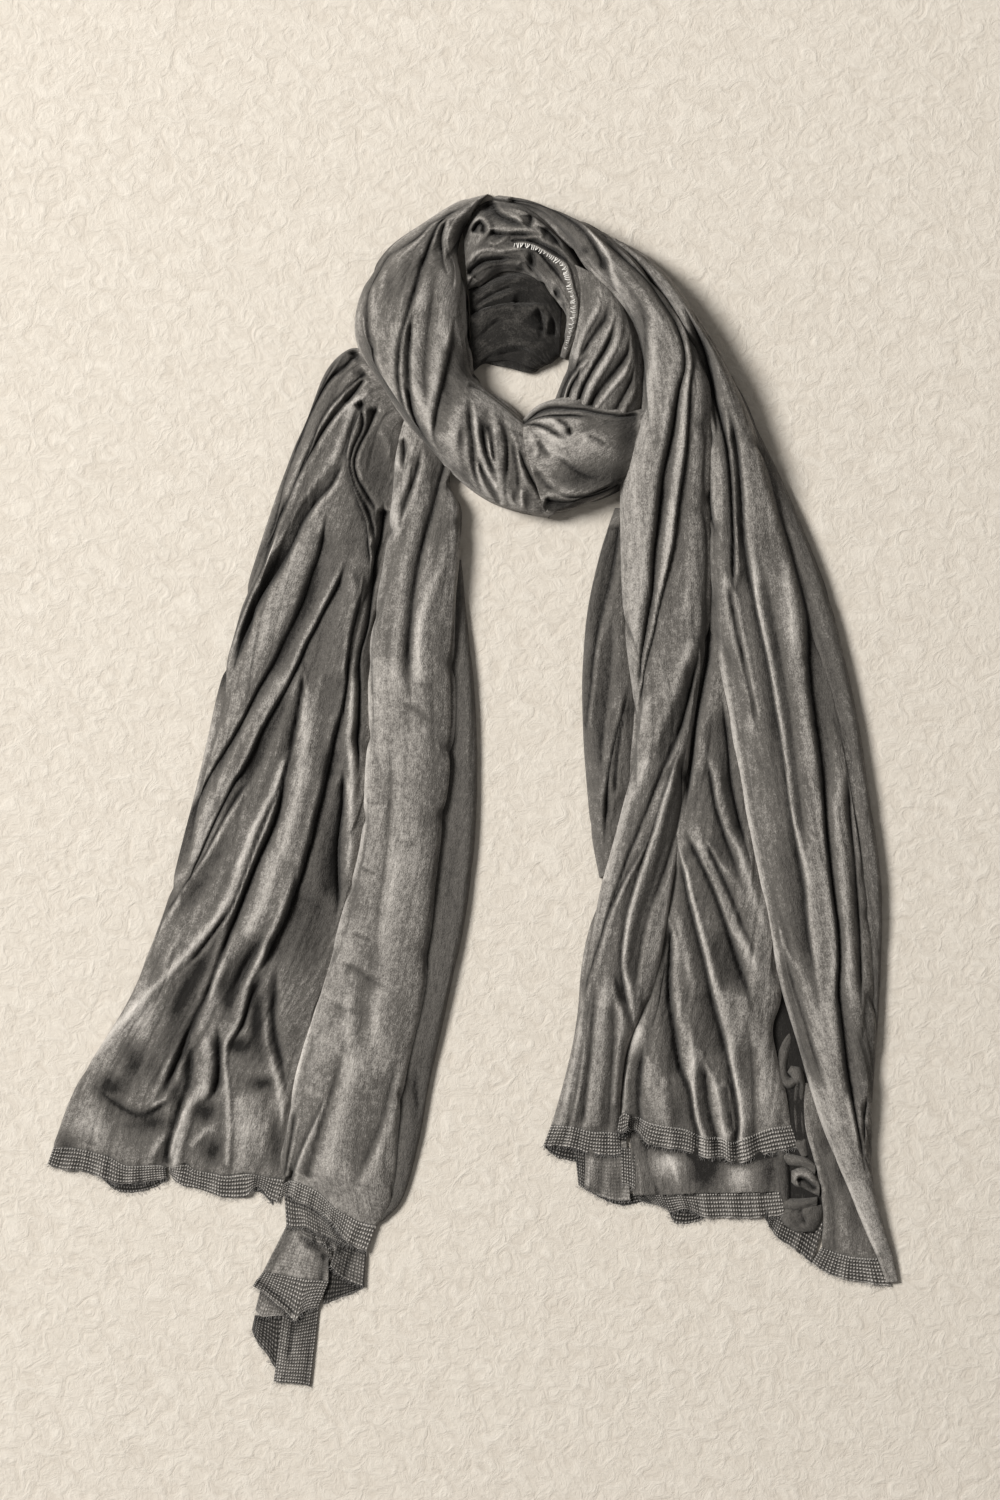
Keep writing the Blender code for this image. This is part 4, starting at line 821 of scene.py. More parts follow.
print("right tail")
rightCentre = {
    "sections": profile(ring, (16, 501, 22, 505, 0.45), (53, 491, 58, 498, 0.66), (78, 466, 100, 480, 0.86),
        (99, 438, 132, 459, 0.96), (121, 417, 156, 430, 1.0), (136, 389, 183, 390, 1.0),
        (141, 351, 203, 351, 0.96), (140, 312, 206, 312, 0.88), (127, 264, 206, 262, 0.74),
        (126, 212, 206, 210, 0.58)) + profile(tail, (125, 162, 205, 162, 1.25), (130, 110, 198, 112, 1.18),
        (136, 62, 190, 64, 1.15), (131, 12, 183, 10, 1.15), (122, -26, 178, -26, 1.15),
        (109, -77, 171, -84, 1.12), (97, -128, 163, -128, 1.08), (90, -170, 153, -174, 1.0),
        (83, -218, 133, -218, 0.9), (75, -255, 127, -257, 0.75), (69, -280, 125.5, -284, 0.52),
        (67, -288, 125, -292, 0.42)),
    "strokes": [
        slot([(30, 501), (50, 498), (70, 491), (86, 481), (96, 471), (103, 461), (108, 451), (112, 443),
            (116, 432), (120, 424)], 8, -0.8, (4, 10)),
        ridge([(96, 474), (104, 467), (111, 456), (116, 444), (120, 432), (124, 418), (130, 408), (136, 400)],
            3, 3, 0.6, (4, 10)),
        ridge([(52, 490), (62, 483), (70, 475), (76, 464), (81, 454), (86, 448)], 2.5, 2.5, 0.5, (4, 8)),
        slot([(58, 478), (66, 473), (72, 466), (76, 458)], 4, -0.6, (4, 6)),
        ridge([(90, 452), (96, 448), (103, 440), (110, 431), (116, 424)], 3, 3, 0.6, (4, 6)),
        patch(95, 456, 3, 3, -0.8, -3), patch(110, 445, 3, 5, -0.9, -4),
        lap([(80, 486), (92, 480), (110, 464), (130, 446), (148, 428), (160, 410), (170, 394), (177, 374),
            (178, 357), (174, 341), (171, 324), (168, 305), (164, 286), (160, 266), (158, 247), (156, 228),
            (153, 204), (152, 190), (151, 170), (148, 151), (145, 132), (141, 108), (138, 84), (136, 70)],
            4.5, 12, 1, 8, 0.35, (8, 10)),
        ridge([(148, 430), (151, 410), (153, 392), (152, 370), (150, 340), (147, 300), (143, 262)], 3.5, 6,
            0.4, (10, 60)),
        ridge([(132, 408), (143, 396), (150, 376), (152, 345)], 2.5, 4, 0.4),
        slot([(136, 420), (144, 405), (146, 385), (145, 360), (144, 330)], 4.5, -0.55, (6, 30)),
        lap([(116, 468), (138, 448), (154, 430), (167, 410), (178, 392), (185, 364), (183, 341), (182, 314),
            (180, 286), (176, 257), (172, 228), (169, 204), (163, 180), (157, 156), (152, 132), (146, 108),
            (141, 79), (139, 60)], 4.5, 10, 1, 8, 0.4, (8, 10)),
        ridge([(190, 384), (192, 340), (191, 300), (190, 250), (187, 205), (183, 165), (178, 130)], 3, 6,
            0.35, (20, 30)),
        ridge([(166, 420), (173, 400), (181, 380), (178, 350), (176, 310), (170, 262), (164, 215),
            (158, 172)], 2.5, 3, 0.4),
        ridge([(134, 300), (136, 262), (138, 220), (138, 180), (137, 140), (138, 104)], 2.5, 5, 0.3),
        slot([(136, 330), (133, 296), (128, 268)], 3, -0.4, (10, 4)),
        slot([(194, 124), (188, 97), (180, 62), (172, 41), (163, 21), (153, -4), (143, -29), (132, -56),
            (124, -79), (116, -101), (111, -120), (100, -155), (93, -180)], 9, -0.85, (14, 10)),
        ridge([(190, 140), (184, 118), (176, 95), (168, 72), (159, 52), (150, 31), (141, 8), (131, -12),
            (122, -34), (116, -54), (109, -78)], 5, 5.5, 0.6, (30, 4)),
        lap([(176, 40), (172, 23), (167, 8), (161, -12), (153, -33), (145, -50), (134, -68), (124, -87),
            (116, -105), (108, -128), (101, -151), (95, -172), (91, -190)], 3.5, 5, -1, 6, 0.55, (8, 12)),
        lap([(176, 30), (169, 10), (161, -12), (155, -33), (147, -56), (139, -79), (132, -103), (128, -127),
            (127, -149), (130, -170), (133, -184), (138, -203)], 5, 10, -1, 10, 0.7, (8, 14)),
        slot([(182, 40), (178, 6), (175, -25), (168, -52), (160, -77), (150, -103), (144, -128), (140, -155),
            (139, -181)], 5, -0.6),
        ridge([(163, -77), (152, -103), (146, -128), (142, -155), (140, -181)], 3, 3, 0.55),
        ridge([(184, 60), (180, 22), (175, -20), (170, -60), (165, -96), (159, -128), (151, -158)], 2.5, 4,
            0.4),
        slot([(108, -130), (104, -175), (101, -215), (98, -245), (94, -280)], 3.5, -0.35, (70, 0)),
        ridge([(112, -140), (112, -165), (112, -200), (109, -240), (106, -280)], 3, 4, 0.5, (14, 0)),
        slot([(120, -140), (120, -180), (120, -210), (118, -250), (116, -284)], 3.5, -0.4, (60, 0)),
        ridge([(126, -160), (127, -195), (124, -230), (121, -270)], 3, 3, 0.5, (14, 4)),
        ridge([(93, -150), (91, -180), (89, -205), (84, -232), (79, -262), (74, -284)], 1.5, 3, 0.7, (14, 0)),
        slot([(97, -170), (95, -200), (92, -230), (87, -262), (82, -284)], 1.5, -0.2, (60, 0)),
        patch(100, -262, 10, 16, 0.12, 1), patch(146, 60, 8, 30, 0.2, 1)],
    "seam": [(67, -284), (85, -285), (100, -289), (115, -289.5), (125, -291)],
    "seed": 41, "tone": 0.07, "gain": 0.95, "closed": (False, False)}
rightMiddle = {
    "sections": profile(tail, (196, 165, 212, 164, 0.4), (188, 112, 218, 112, 0.66), (182, 62, 226, 62, 0.78),
        (176, 10, 234, 12, 0.86), (170, -27, 240, -27, 0.92), (163, -85, 252, -85, 0.98),
        (154, -128, 260, -128, 1.0), (146, -165, 262, -175, 1.02), (142, -184, 255, -200, 1.02),
        (131, -219, 258, -224, 0.95), (126, -255, 266, -258, 0.8), (126, -280, 270, -284, 0.55),
        (126, -290, 271, -292, 0.42)),
    "strokes": [
        slot([(200, 150), (200, 120), (196, 92), (190, 62), (186, 30), (182, 0), (179, -22)], 6, -0.7,
            (4, 10)),
        slot([(178, -28), (184, -42), (192, -58), (201, -77), (209, -97), (217, -120), (225, -145),
            (232, -165), (238, -184)], 7, -0.8, (10, 30)),
        lap([(172, -40), (177, -60), (183, -87), (189, -112), (196, -139), (202, -165), (206, -182),
            (212, -204), (218, -230), (224, -258), (227, -282), (226, -296)], 6, 18, -1, 8, 0.75, (10, 0)),
        ridge([(183, -30), (192, -44), (201, -58), (210, -78), (219, -99), (228, -122), (238, -144),
            (248, -166)], 4.5, 4.5, 0.6),
        slot([(190, -30), (200, -48), (209, -66), (219, -88), (229, -112), (240, -136)], 3.5, -0.5),
        ridge([(203, 40), (209, 17), (213, -8), (221, -35), (229, -57), (237, -79), (245, -105), (252, -126)],
            3.5, 4, 0.45),
        slot([(196, 40), (202, 12), (206, -12), (214, -38), (222, -60), (231, -84)], 4, -0.5),
        slot([(212, 80), (217, 40), (220, 5), (228, -30), (236, -58)], 5, -0.7),
        ridge([(168, -88), (174, -108), (178, -124), (182, -142), (186, -160), (190, -184)], 4.5, 5, 0.5),
        slot([(163, -100), (167, -122), (168, -142), (167, -160), (168, -184), (172, -210), (176, -234),
            (184, -254), (188, -278), (193, -296)], 9, -0.9, (12, 0)),
        ridge([(150, -178), (145, -192), (140, -206), (134, -222), (130, -240), (129, -262), (128, -286)], 3,
            3.6, 0.7, (10, 0)),
        ridge([(160, -160), (158, -190), (156, -220), (158, -250), (164, -286)], 3, 7, 0.4, (20, 0)),
        slot([(146, -210), (142, -235), (141, -262), (144, -290)], 4, -0.5, (14, 0)),
        ridge([(182, -190), (186, -215), (188, -236), (188, -256), (191, -278), (197, -296)], 4, 3, 0.75,
            (14, 0)),
        slot([(194, -220), (198, -245), (200, -265), (203, -280), (208, -296)], 4, -0.5, (14, 0)),
        ridge([(203, -235), (209, -262), (212, -281), (216, -296)], 3.5, 2.6, 0.6, (10, 0)),
        slot([(214, -240), (218, -266), (221, -287)], 4, -0.6, (12, 0)),
        ridge([(240, -190), (246, -215), (250, -240), (252, -262), (252, -286)], 3, 9, 0.3, (20, 0)),
        slot([(234, -200), (238, -230), (240, -262), (240, -290)], 2.5, -0.3, (20, 0)),
        patch(240, -262, 12, 18, 0.2, 1), patch(176, -272, 7, 14, -0.2, -1),
        patch(214, -150, 10, 22, -0.2, -1.5)],
    "seam": [(126, -279), (140, -277), (149, -281), (162, -284), (181, -287), (196, -293.5), (210, -294),
        (219, -298), (228, -296), (240, -291), (253, -286), (270.5, -284)],
    "seed": 47, "tone": 0.02, "gain": 1.25, "closed": (True, False)}
rightOuter = {
    "sections": profile(ring, (116, 467, 122, 468, 0.5), (138, 446, 149, 451, 0.7), (156, 426, 172, 428, 0.8),
        (176, 390, 199, 389, 0.86), (192, 351, 222, 350, 0.84), (196, 312, 239, 312, 0.76),
        (196, 262, 257, 262, 0.66), (196, 210, 275, 210, 0.56)) + profile(tail, (199, 160, 290, 161, 1.25),
        (205, 112, 305, 112, 1.2), (214, 62, 318, 62, 1.15), (223, 12, 329, 12, 1.15),
        (230, -27, 333, -27, 1.15), (242, -85, 339, -85, 1.15), (250, -124, 341, -124, 1.15),
        (258, -160, 343, -160, 1.12), (268, -196, 343, -196, 1.08), (281, -238, 341.5, -238, 1.02),
        (298, -290, 338.5, -290, 0.92), (318, -337, 342, -337, 0.72), (334, -375, 351, -374, 0.5),
        (344, -397, 357.5, -395, 0.36), (352, -418, 362, -417, 0.22)),
    "strokes": [
        slot([(182, 404), (195, 377), (200, 358), (205, 334), (211, 312), (216, 288), (219, 262), (220, 238),
            (221, 214), (221, 190), (221, 160)], 15, -1.0, (10, 24)),
        ridge([(186, 390), (194, 364), (199, 338), (204, 312), (208, 284), (210, 256), (210, 225),
            (209, 195)], 3, 4, 0.3),
        slot([(200, 330), (200, 295), (200.5, 266), (202, 236), (204, 205)], 4, -0.5),
        lap([(216, 326), (222, 308), (226, 286), (229, 252), (231, 216), (236, 180), (243, 144), (250, 113),
            (257, 72), (261, 48), (265, 21), (269, -12), (275, -45), (281, -77), (285, -118), (290, -155),
            (294, -181)], 5, 16, -1, 4, 0.7, (10, 60)),
        ridge([(208, 205), (214, 170), (219, 144), (226, 113), (234, 84), (238, 40)], 3, 4.5, 0.5),
        slot([(214, 190), (222, 150), (230, 112), (238, 76), (244, 40)], 3.5, -0.45),
        ridge([(262, 200), (268, 170), (271, 137), (274, 100)], 2.5, 4, 0.5),
        ridge([(205, 150), (211, 110), (218, 66), (226, 20), (233, -24), (243, -74), (254, -128), (265, -178),
            (278, -225)], 1.4, 2.6, 0.6, (20, 30)),
        lap([(240, 304), (248, 280), (256, 250), (266, 214), (274, 185), (282, 151), (284, 118), (286, 89),
            (290, 58), (294, 27), (297, -4), (299, -35), (302, -62), (306, -97), (309, -118), (310, -145),
            (309, -170), (311, -188), (316, -231), (322, -267), (328, -299), (333, -322)], 3.5, 12, 1, 5, 0.4,
            (10, 20)),
        slot([(244, 200), (252, 160), (260, 118), (268, 70), (274, 20), (280, -30), (287, -80)], 2.5, -0.3,
            (40, 60)),
        ridge([(303, 80), (309, 20), (314, -40), (319, -100), (321, -160), (325, -215), (331, -270)], 3, 6,
            0.3, (40, 30)),
        slot([(318, 30), (322, -30), (328, -90), (330, -150), (331, -200)], 3, -0.4, (40, 40)),
        slot([(262, -120), (270, -155), (280, -190), (291, -228), (303, -262)], 3, -0.3, (40, 30)),
        ridge([(260, -165), (269.5, -200), (281.5, -236), (293, -272), (306.5, -308), (320, -339),
            (334, -371), (343, -392)], 1.8, 2.2, 0.7, (30, 0)),
        ridge([(272, -160), (283, -200), (297, -244), (309, -282), (321, -318), (334, -352), (345, -384)],
            1.4, 7, 0.3, (30, 0)),
        slot([(335, -250), (333, -280), (334, -310)], 3, -0.4, (10, 10)),
        patch(300, -200, 12, 50, 0.12, 0.5), patch(250, 60, 8, 60, -0.12, -0.5)],
    "seed": 53, "gain": 1.3, "closed": (False, False)}
# a sheet under the outer one, darkened by painted shade through its tone
rightBack = {
    "sections": profile(tail, (210, 352, 221, 352, 0.44), (227, 312, 239, 312, 0.62),
        (243, 262, 263.5, 262, 0.78), (261, 210, 286, 210, 0.84), (275, 161, 304.5, 161, 0.84),
        (290, 112, 317, 112, 0.84), (304, 62, 328, 62, 0.8), (316, 12, 335.5, 12, 0.76),
        (321, -27, 341, -27, 0.72), (327, -85, 348, -85, 0.66), (331, -128, 348.5, -128, 0.6),
        (334, -181, 346, -181, 0.54), (333, -235, 342, -235, 0.44), (330, -300, 337, -300, 0.4)),
    "strokes": [
        slot([(262, 233), (289, 149), (314, 62), (327, -4)], 1, -0.2)],
    "seed": 59, "tone": -0.25}
# a sheet under the centre one, darkened by painted shade through its tone
rightUnder = {
    "sections": profile(tail, (121, 240, 135, 240, 0.35), (110.6, 210, 134, 210, 0.55),
        (98.5, 160, 134, 160, 0.66), (93, 104, 138, 104, 0.68), (93.3, 56, 144, 56, 0.68),
        (96.5, 5, 138, 5, 0.66), (101, -36, 128, -34, 0.6), (108, -74, 120, -70, 0.5)),
    "strokes": [
        lap([(126, 226), (120, 187), (114, 163), (109, 142), (104, 113), (101, 84), (98, 60), (97, 30)], 3, 9,
            -1, 4, 0.3, (4, 30)),
        slot([(119, 150), (117, 110), (113, 70), (109, 30), (108, 0)], 3, -0.4),
        slot([(135, 85), (128, 60), (124, 37), (122, 17), (121, -4), (118, -24)], 6, -0.8, (6, 16)),
        lap([(134, 96), (126, 66), (119, 40), (114, 10), (112, -20), (112, -46)], 3, 7, 1, 5, 0.3)],
    "seed": 61, "tone": -0.22}
centrePart = clothPiece("right_centre_cloth", rightCentre, "tail_right_centre", (0.085, 0.84))
middlePart = clothPiece("right_middle_cloth", rightMiddle, "tail_right_middle", (0.11, 0.46))
clothPiece("right_outer_cloth", rightOuter, "tail_right_outer", (0.10, 0.90))
clothPiece("right_back_cloth", rightBack, "tail_right_back", (0.05, 0.65))
clothPiece("right_under_cloth", rightUnder, "tail_right_under", (0.06, 0.31))

print("neck ring")
frontWrap = {
    "sections": profile(ring, (13, 506, 7, 500, 0.4), (0, 502, 3, 494, 0.52), (-14, 498, 0, 487, 0.6),
        (-40, 482, -9, 469, 0.78), (-70, 461, -11, 451, 0.88), (-92, 431, -5, 428, 0.95),
        (-101, 401, -3, 402, 1.0), (-98, 375, 0, 376, 1.0), (-81, 345, 0, 356, 0.98),
        (-58, 311, 6, 348, 0.96), (-34, 284, 22, 335, 0.93), (-8, 259, 38, 321, 0.87),
        (18, 242, 52, 303, 0.8), (42, 234, 63, 266, 0.66), (64, 231, 78, 241, 0.4)),
    "strokes": [
        slot([(5, 502), (-10, 493), (-27, 484), (-37, 478), (-46, 468), (-57, 461), (-71, 452), (-78, 440),
            (-86, 425), (-88, 412), (-88, 399), (-87, 382), (-84, 365), (-77, 348), (-66, 330), (-52, 312),
            (-38, 296)], 3, -0.5, (10, 24)),
        slot([(-92, 418), (-93, 400), (-91, 382), (-87, 366), (-80, 350)], 2.2, -0.35, (10, 10)),
        patch(-70, 434, 5, 20, -0.3, -2.5), patch(-80, 426, 3, 20, -0.25, -1.5),
        roll([(-36, 478), (-40, 463), (-46, 442), (-52, 424), (-58, 404), (-64, 384), (-68, 364), (-68, 346),
            (-63, 328), (-53, 312)], 3.4, 6.0, 0.55, (16, 24)),
        slot([(-2, 499), (-16, 490), (-28, 480), (-34, 466), (-39, 452), (-44, 439), (-49, 421), (-55, 401),
            (-60, 382), (-62.5, 363), (-62.5, 344), (-59, 326), (-52, 308), (-42, 293)], 6.5, -0.85,
            (10, 40)),
        patch(-34, 440, 7, 26, -0.35, -1.5),
        slot([(-49, 416), (-51, 397), (-53, 378), (-54, 359), (-53.5, 340), (-51.5, 322), (-46, 306),
            (-38, 292), (-28, 279)], 5.5, -0.75, (22, 30)),
        roll([(-52, 410), (-55, 394), (-57.5, 376), (-58.5, 358), (-58.5, 341), (-56, 324), (-49, 309),
            (-40, 296)], 2.6, 3.2, 0.5, (14, 20)),
        roll([(-34, 438), (-38, 420), (-42, 400), (-45, 378), (-46.5, 356), (-45, 334), (-40, 315),
            (-30, 299), (-17, 284)], 1.8, 6, 0.25, (30, 30)),
        slot([(-30, 432), (-35, 400), (-38, 368), (-39.5, 338), (-37, 316)], 2.4, -0.3, (30, 30)),
        roll([(5, 499), (-8, 487), (-15, 476), (-18, 465), (-16, 456), (-12, 449), (-10.5, 439), (-12.5, 427),
            (-15, 414)], 4.2, 3.6, 0.6, (6, 20)),
        slot([(-16, 492), (-23, 480), (-26, 466), (-24, 450), (-20, 436)], 4, -0.4, (8, 24)),
        slot([(0, 490), (-6, 480), (-10, 468), (-8, 456), (-5, 444)], 5, -0.5, (6, 16)),
        roll([(3, 501), (1, 491), (-3, 480), (-5, 466), (-4, 452)], 2, 3, 0.3, (4, 14)),
        lap([(-15, 398), (-18, 379), (-22, 361), (-26, 344), (-30, 327), (-33, 311), (-33.5, 297),
            (-28, 285)], 3.4, 8, 1, 4.5, 0.7, (20, 16)),
        patch(-20, 334, 5, 14, -0.4, -1.2), patch(-8, 346, 5, 24, -0.25, 0),
        roll([(-12, 334), (-14, 318), (-17, 302), (-18, 288), (-12, 274), (-3, 262)], 2.4, 6.5, 0.4,
            (12, 14)),
        patch(-9, 297, 2.0, 10, -0.5, -2),
        roll([(-4, 304), (-5.5, 292), (-5, 280), (-2, 268), (3, 258), (9, 249)], 2.4, 3.4, 0.5, (8, 6)),
        cleft([(-2.4, 344), (-2.4, 326), (-1.6, 308), (0, 296), (1, 283), (1.5, 270), (4.5, 259), (10, 250),
            (15, 244)], 3.6, -0.75, (14, 6)),
        roll([(1.2, 336), (2.4, 319), (4, 302), (7, 286), (11.5, 272), (17, 261), (22, 252)], 3.6, 2.9, 0.65,
            (16, 5)),
        cleft([(3, 287), (7.5, 272.5), (13.5, 261), (19, 252), (24, 242)], 3.2, -0.65, (6, 4)),
        roll([(2.5, 280), (4.5, 268), (9.5, 257.5), (16, 248), (21, 242)], 3, 2.6, 0.55, (5, 4)),
        cleft([(7.6, 322), (8.6, 309), (10, 296), (13, 283), (18, 271), (20.5, 262), (21, 254)], 4, -0.9,
            (12, 6)),
        patch(11.5, 305, 2.6, 13, -0.7, -2.2),
        ridge([(10.5, 308), (13.5, 295), (15.5, 282), (19.5, 271)], 2.2, 0.9, 0.9, (6, 4)),
        cleft([(13.5, 312), (16.2, 300), (17.5, 288), (18.8, 277)], 3, -0.6, (5, 4)),
        roll([(15, 327), (19.5, 314), (22.5, 301), (24, 288), (23.5, 275), (23, 263), (23.5, 251), (27, 240)],
            4.2, 4.6, 0.55, (22, 4)),
        slot([(25.5, 318), (28.5, 304), (30, 290), (30, 276), (29, 262), (28.5, 252)], 3.2, -0.5, (18, 12)),
        patch(33, 276, 3.4, 22, -0.4, -1.5),
        cleft([(32, 306), (35.5, 290), (37.5, 277), (39, 265), (39.5, 253), (40.5, 241)], 3.2, -0.6, (14, 6)),
        roll([(31, 314), (35, 299), (39.5, 285), (43, 272), (47, 261), (53, 252), (60, 243), (67, 236)], 3.2,
            3.2, 0.5, (14, 4)),
        cleft([(36.5, 300), (40, 288), (44, 276), (49, 265), (55, 255), (61, 246), (67, 239)], 4.5, -0.7,
            (10, 3)),
        roll([(30, 253), (33, 246), (38, 239)], 2.4, 2.4, 0.45, (4, 4)),
        patch(36.5, 250, 1.8, 5, -0.6, -2),
        ridge([(41.5, 257), (41.5, 247), (44, 238)], 2.2, 1.4, 0.6, (5, 4)),
        patch(47.5, 245, 3.2, 6.5, -0.7, -2.5)],
    "seed": 67, "tone": 0.14, "wrinkle": 0.5, "fine": 0.75, "gain": 1.15}
bottomPuff = {
    "sections": profile(ring, (62, 233, 38, 310, 0.74), (84, 237, 58, 328, 0.82), (102, 244, 86, 333, 0.82),
        (116, 250, 114, 327, 0.76), (128, 257, 142, 326, 0.6), (146, 268, 166, 318, 0.42)),
    "strokes": [
        roll([(42, 313), (52, 322), (62, 327), (76, 328.5), (92, 327), (108, 323.5), (124, 321.5),
            (142, 322)], 1.2, 2.4, 0.4, (4, 4)),
        slot([(40, 309), (48, 316), (58, 322), (72, 325), (90, 323.5), (108, 320), (124, 318), (142, 318)],
            3.5, -0.6, (4, 4)),
        roll([(44, 306), (52, 313.5), (62, 318.5), (76, 321), (92, 320), (110, 316), (126, 315),
            (140, 315.5)], 2.2, 2.6, 0.5, (4, 10)),
        cleft([(41, 309), (50, 313.6), (60, 317), (72, 318), (84, 317.6), (98, 316), (110, 313)], 4, -0.75,
            (4, 14)),
        roll([(50, 311), (58, 313), (66, 313), (73, 310.5), (79, 305), (86, 298.5)], 2.4, 4.4, 0.45, (6, 8)),
        cleft([(42, 308.5), (50, 309.5), (58, 308.5), (66, 305), (74, 300), (81, 296)], 3.4, -0.65, (4, 6)),
        roll([(50, 305), (58, 303.5), (66, 299.5), (74, 294), (84, 289)], 1.8, 5, 0.35, (6, 12)),
        slot([(66, 316), (74, 314), (80, 309.5), (83, 303.5), (82.5, 298)], 2.4, -0.45, (6, 4)),
        patch(82, 304, 3.2, 3.5, -0.4, -1.2),
        roll([(47.5, 304), (50, 297), (53.5, 291), (54, 285), (50.5, 279)], 2.2, 4, 0.5, (8, 8)),
        slot([(56, 301), (58, 293), (62, 286), (68, 280)], 2, -0.4, (8, 8)),
        roll([(61, 298), (65, 291), (72, 284), (80, 278), (88, 272.5)], 2.2, 5.5, 0.35, (8, 10)),
        slot([(68, 285), (79, 277), (88, 270.5), (97, 266), (107, 264)], 1.6, -0.4, (12, 14)),
        roll([(86, 298), (96, 295), (106, 290), (114, 283)], 1.6, 8, 0.25, (12, 12)),
        slot([(90, 302), (100, 300), (110, 295), (120, 288)], 1.2, -0.22, (12, 12)),
        slot([(52, 276), (58, 265), (66, 256), (76, 251)], 2.4, -0.35, (8, 12)),
        roll([(58, 270), (66, 261), (78, 256), (92, 257)], 2, 4.5, 0.15, (6, 10)),
        lap([(68, 254), (80, 249.5), (96, 250), (108, 254), (120, 260), (128, 265)], 2, 5, -1, 3, 0.4,
            (6, 8)),
        slot([(60, 248), (70, 245), (82, 244.5), (96, 247), (110, 252), (126, 259)], 4, -0.6, (4, 4)),
        patch(112, 268, 26, 12, -0.4, -1.0), patch(134, 298, 9, 26, -0.5, -3), patch(74, 241, 22, 4, -0.4, 0),
        patch(84, 296, 28, 14, 0.2, 0.6), patch(100, 262, 34, 9, -0.3, -0.6)],
    "seed": 71, "tone": 0.02, "wrinkle": 0.4, "power": 3.4, "fine": 0.6, "gain": 1.5}
innerStrands = {
    "sections": profile(ring, (77, 450, 116, 431, 0.66), (80, 418, 142, 394, 0.72), (82, 388, 148, 364, 0.74),
        (78.5, 362, 148, 338, 0.72), (74, 350, 147, 328, 0.66), (68.5, 338, 145, 320, 0.56),
        (65, 330, 144, 316, 0.46)),
    "strokes": [
        patch(97, 418, 6, 18, -0.3, -1.5),
        roll([(111.5, 424), (107, 411), (99, 396), (92, 384), (88, 373), (85, 360), (81, 348)], 3.6, 3.4,
            0.65, (6, 6)),
        cleft([(117, 414), (113, 400), (106, 390), (99, 380), (93, 370), (87, 358)], 4.5, -0.75, (8, 8)),
        cleft([(104, 373), (94.5, 366), (87, 359), (80.6, 352), (75, 342), (72, 330), (70, 318)], 4.5, -0.8,
            (10, 2)),
        roll([(103, 368), (95, 361.5), (88, 354), (82, 345), (78, 334), (76, 320)], 3.4, 2.8, 0.6, (10, 2)),
        roll([(119, 412), (119, 398), (114.6, 387), (108.4, 374), (102, 364), (96, 353), (90.6, 343),
            (86, 330), (83, 318)], 3.6, 2.6, 0.6, (6, 2)),
        cleft([(97, 364), (91, 356), (85.5, 346), (81.5, 334), (79, 320)], 4, -0.7, (10, 2)),
        cleft([(121, 400), (118, 384), (112, 372), (105, 361), (99, 351), (94, 341), (90, 330), (88, 317)],
            4.2, -0.75, (12, 2)),
        roll([(125.4, 408), (125.6, 396), (123, 385), (118, 373), (111, 360), (104, 349), (98, 336),
            (94, 320)], 3.6, 4.4, 0.5, (6, 2)),
        cleft([(134, 386), (131.6, 371), (124, 359), (116, 349), (108, 339), (101, 328), (97, 316)], 4.6,
            -0.9, (14, 2)),
        roll([(136, 372), (130.5, 357), (122.5, 346), (113, 335), (105, 325), (101, 316)], 3.4, 2.8, 0.6,
            (8, 2)),
        cleft([(139, 358), (135, 346), (128.5, 335), (122, 323), (118, 313)], 3.6, -0.7, (10, 2)),
        roll([(141, 344), (136, 334), (130, 324), (126, 314)], 3, 3, 0.4, (6, 2)),
        patch(130, 398, 5, 14, -0.25, -1), patch(80, 356, 3, 10, -0.3, -1)],
    "seam": [(67, 327), (78, 325), (92, 323), (108, 319.5), (124, 317.5), (144, 317.5)],
    "seed": 73, "wrinkle": 0.3, "fine": 0.6, "gain": 1.15}
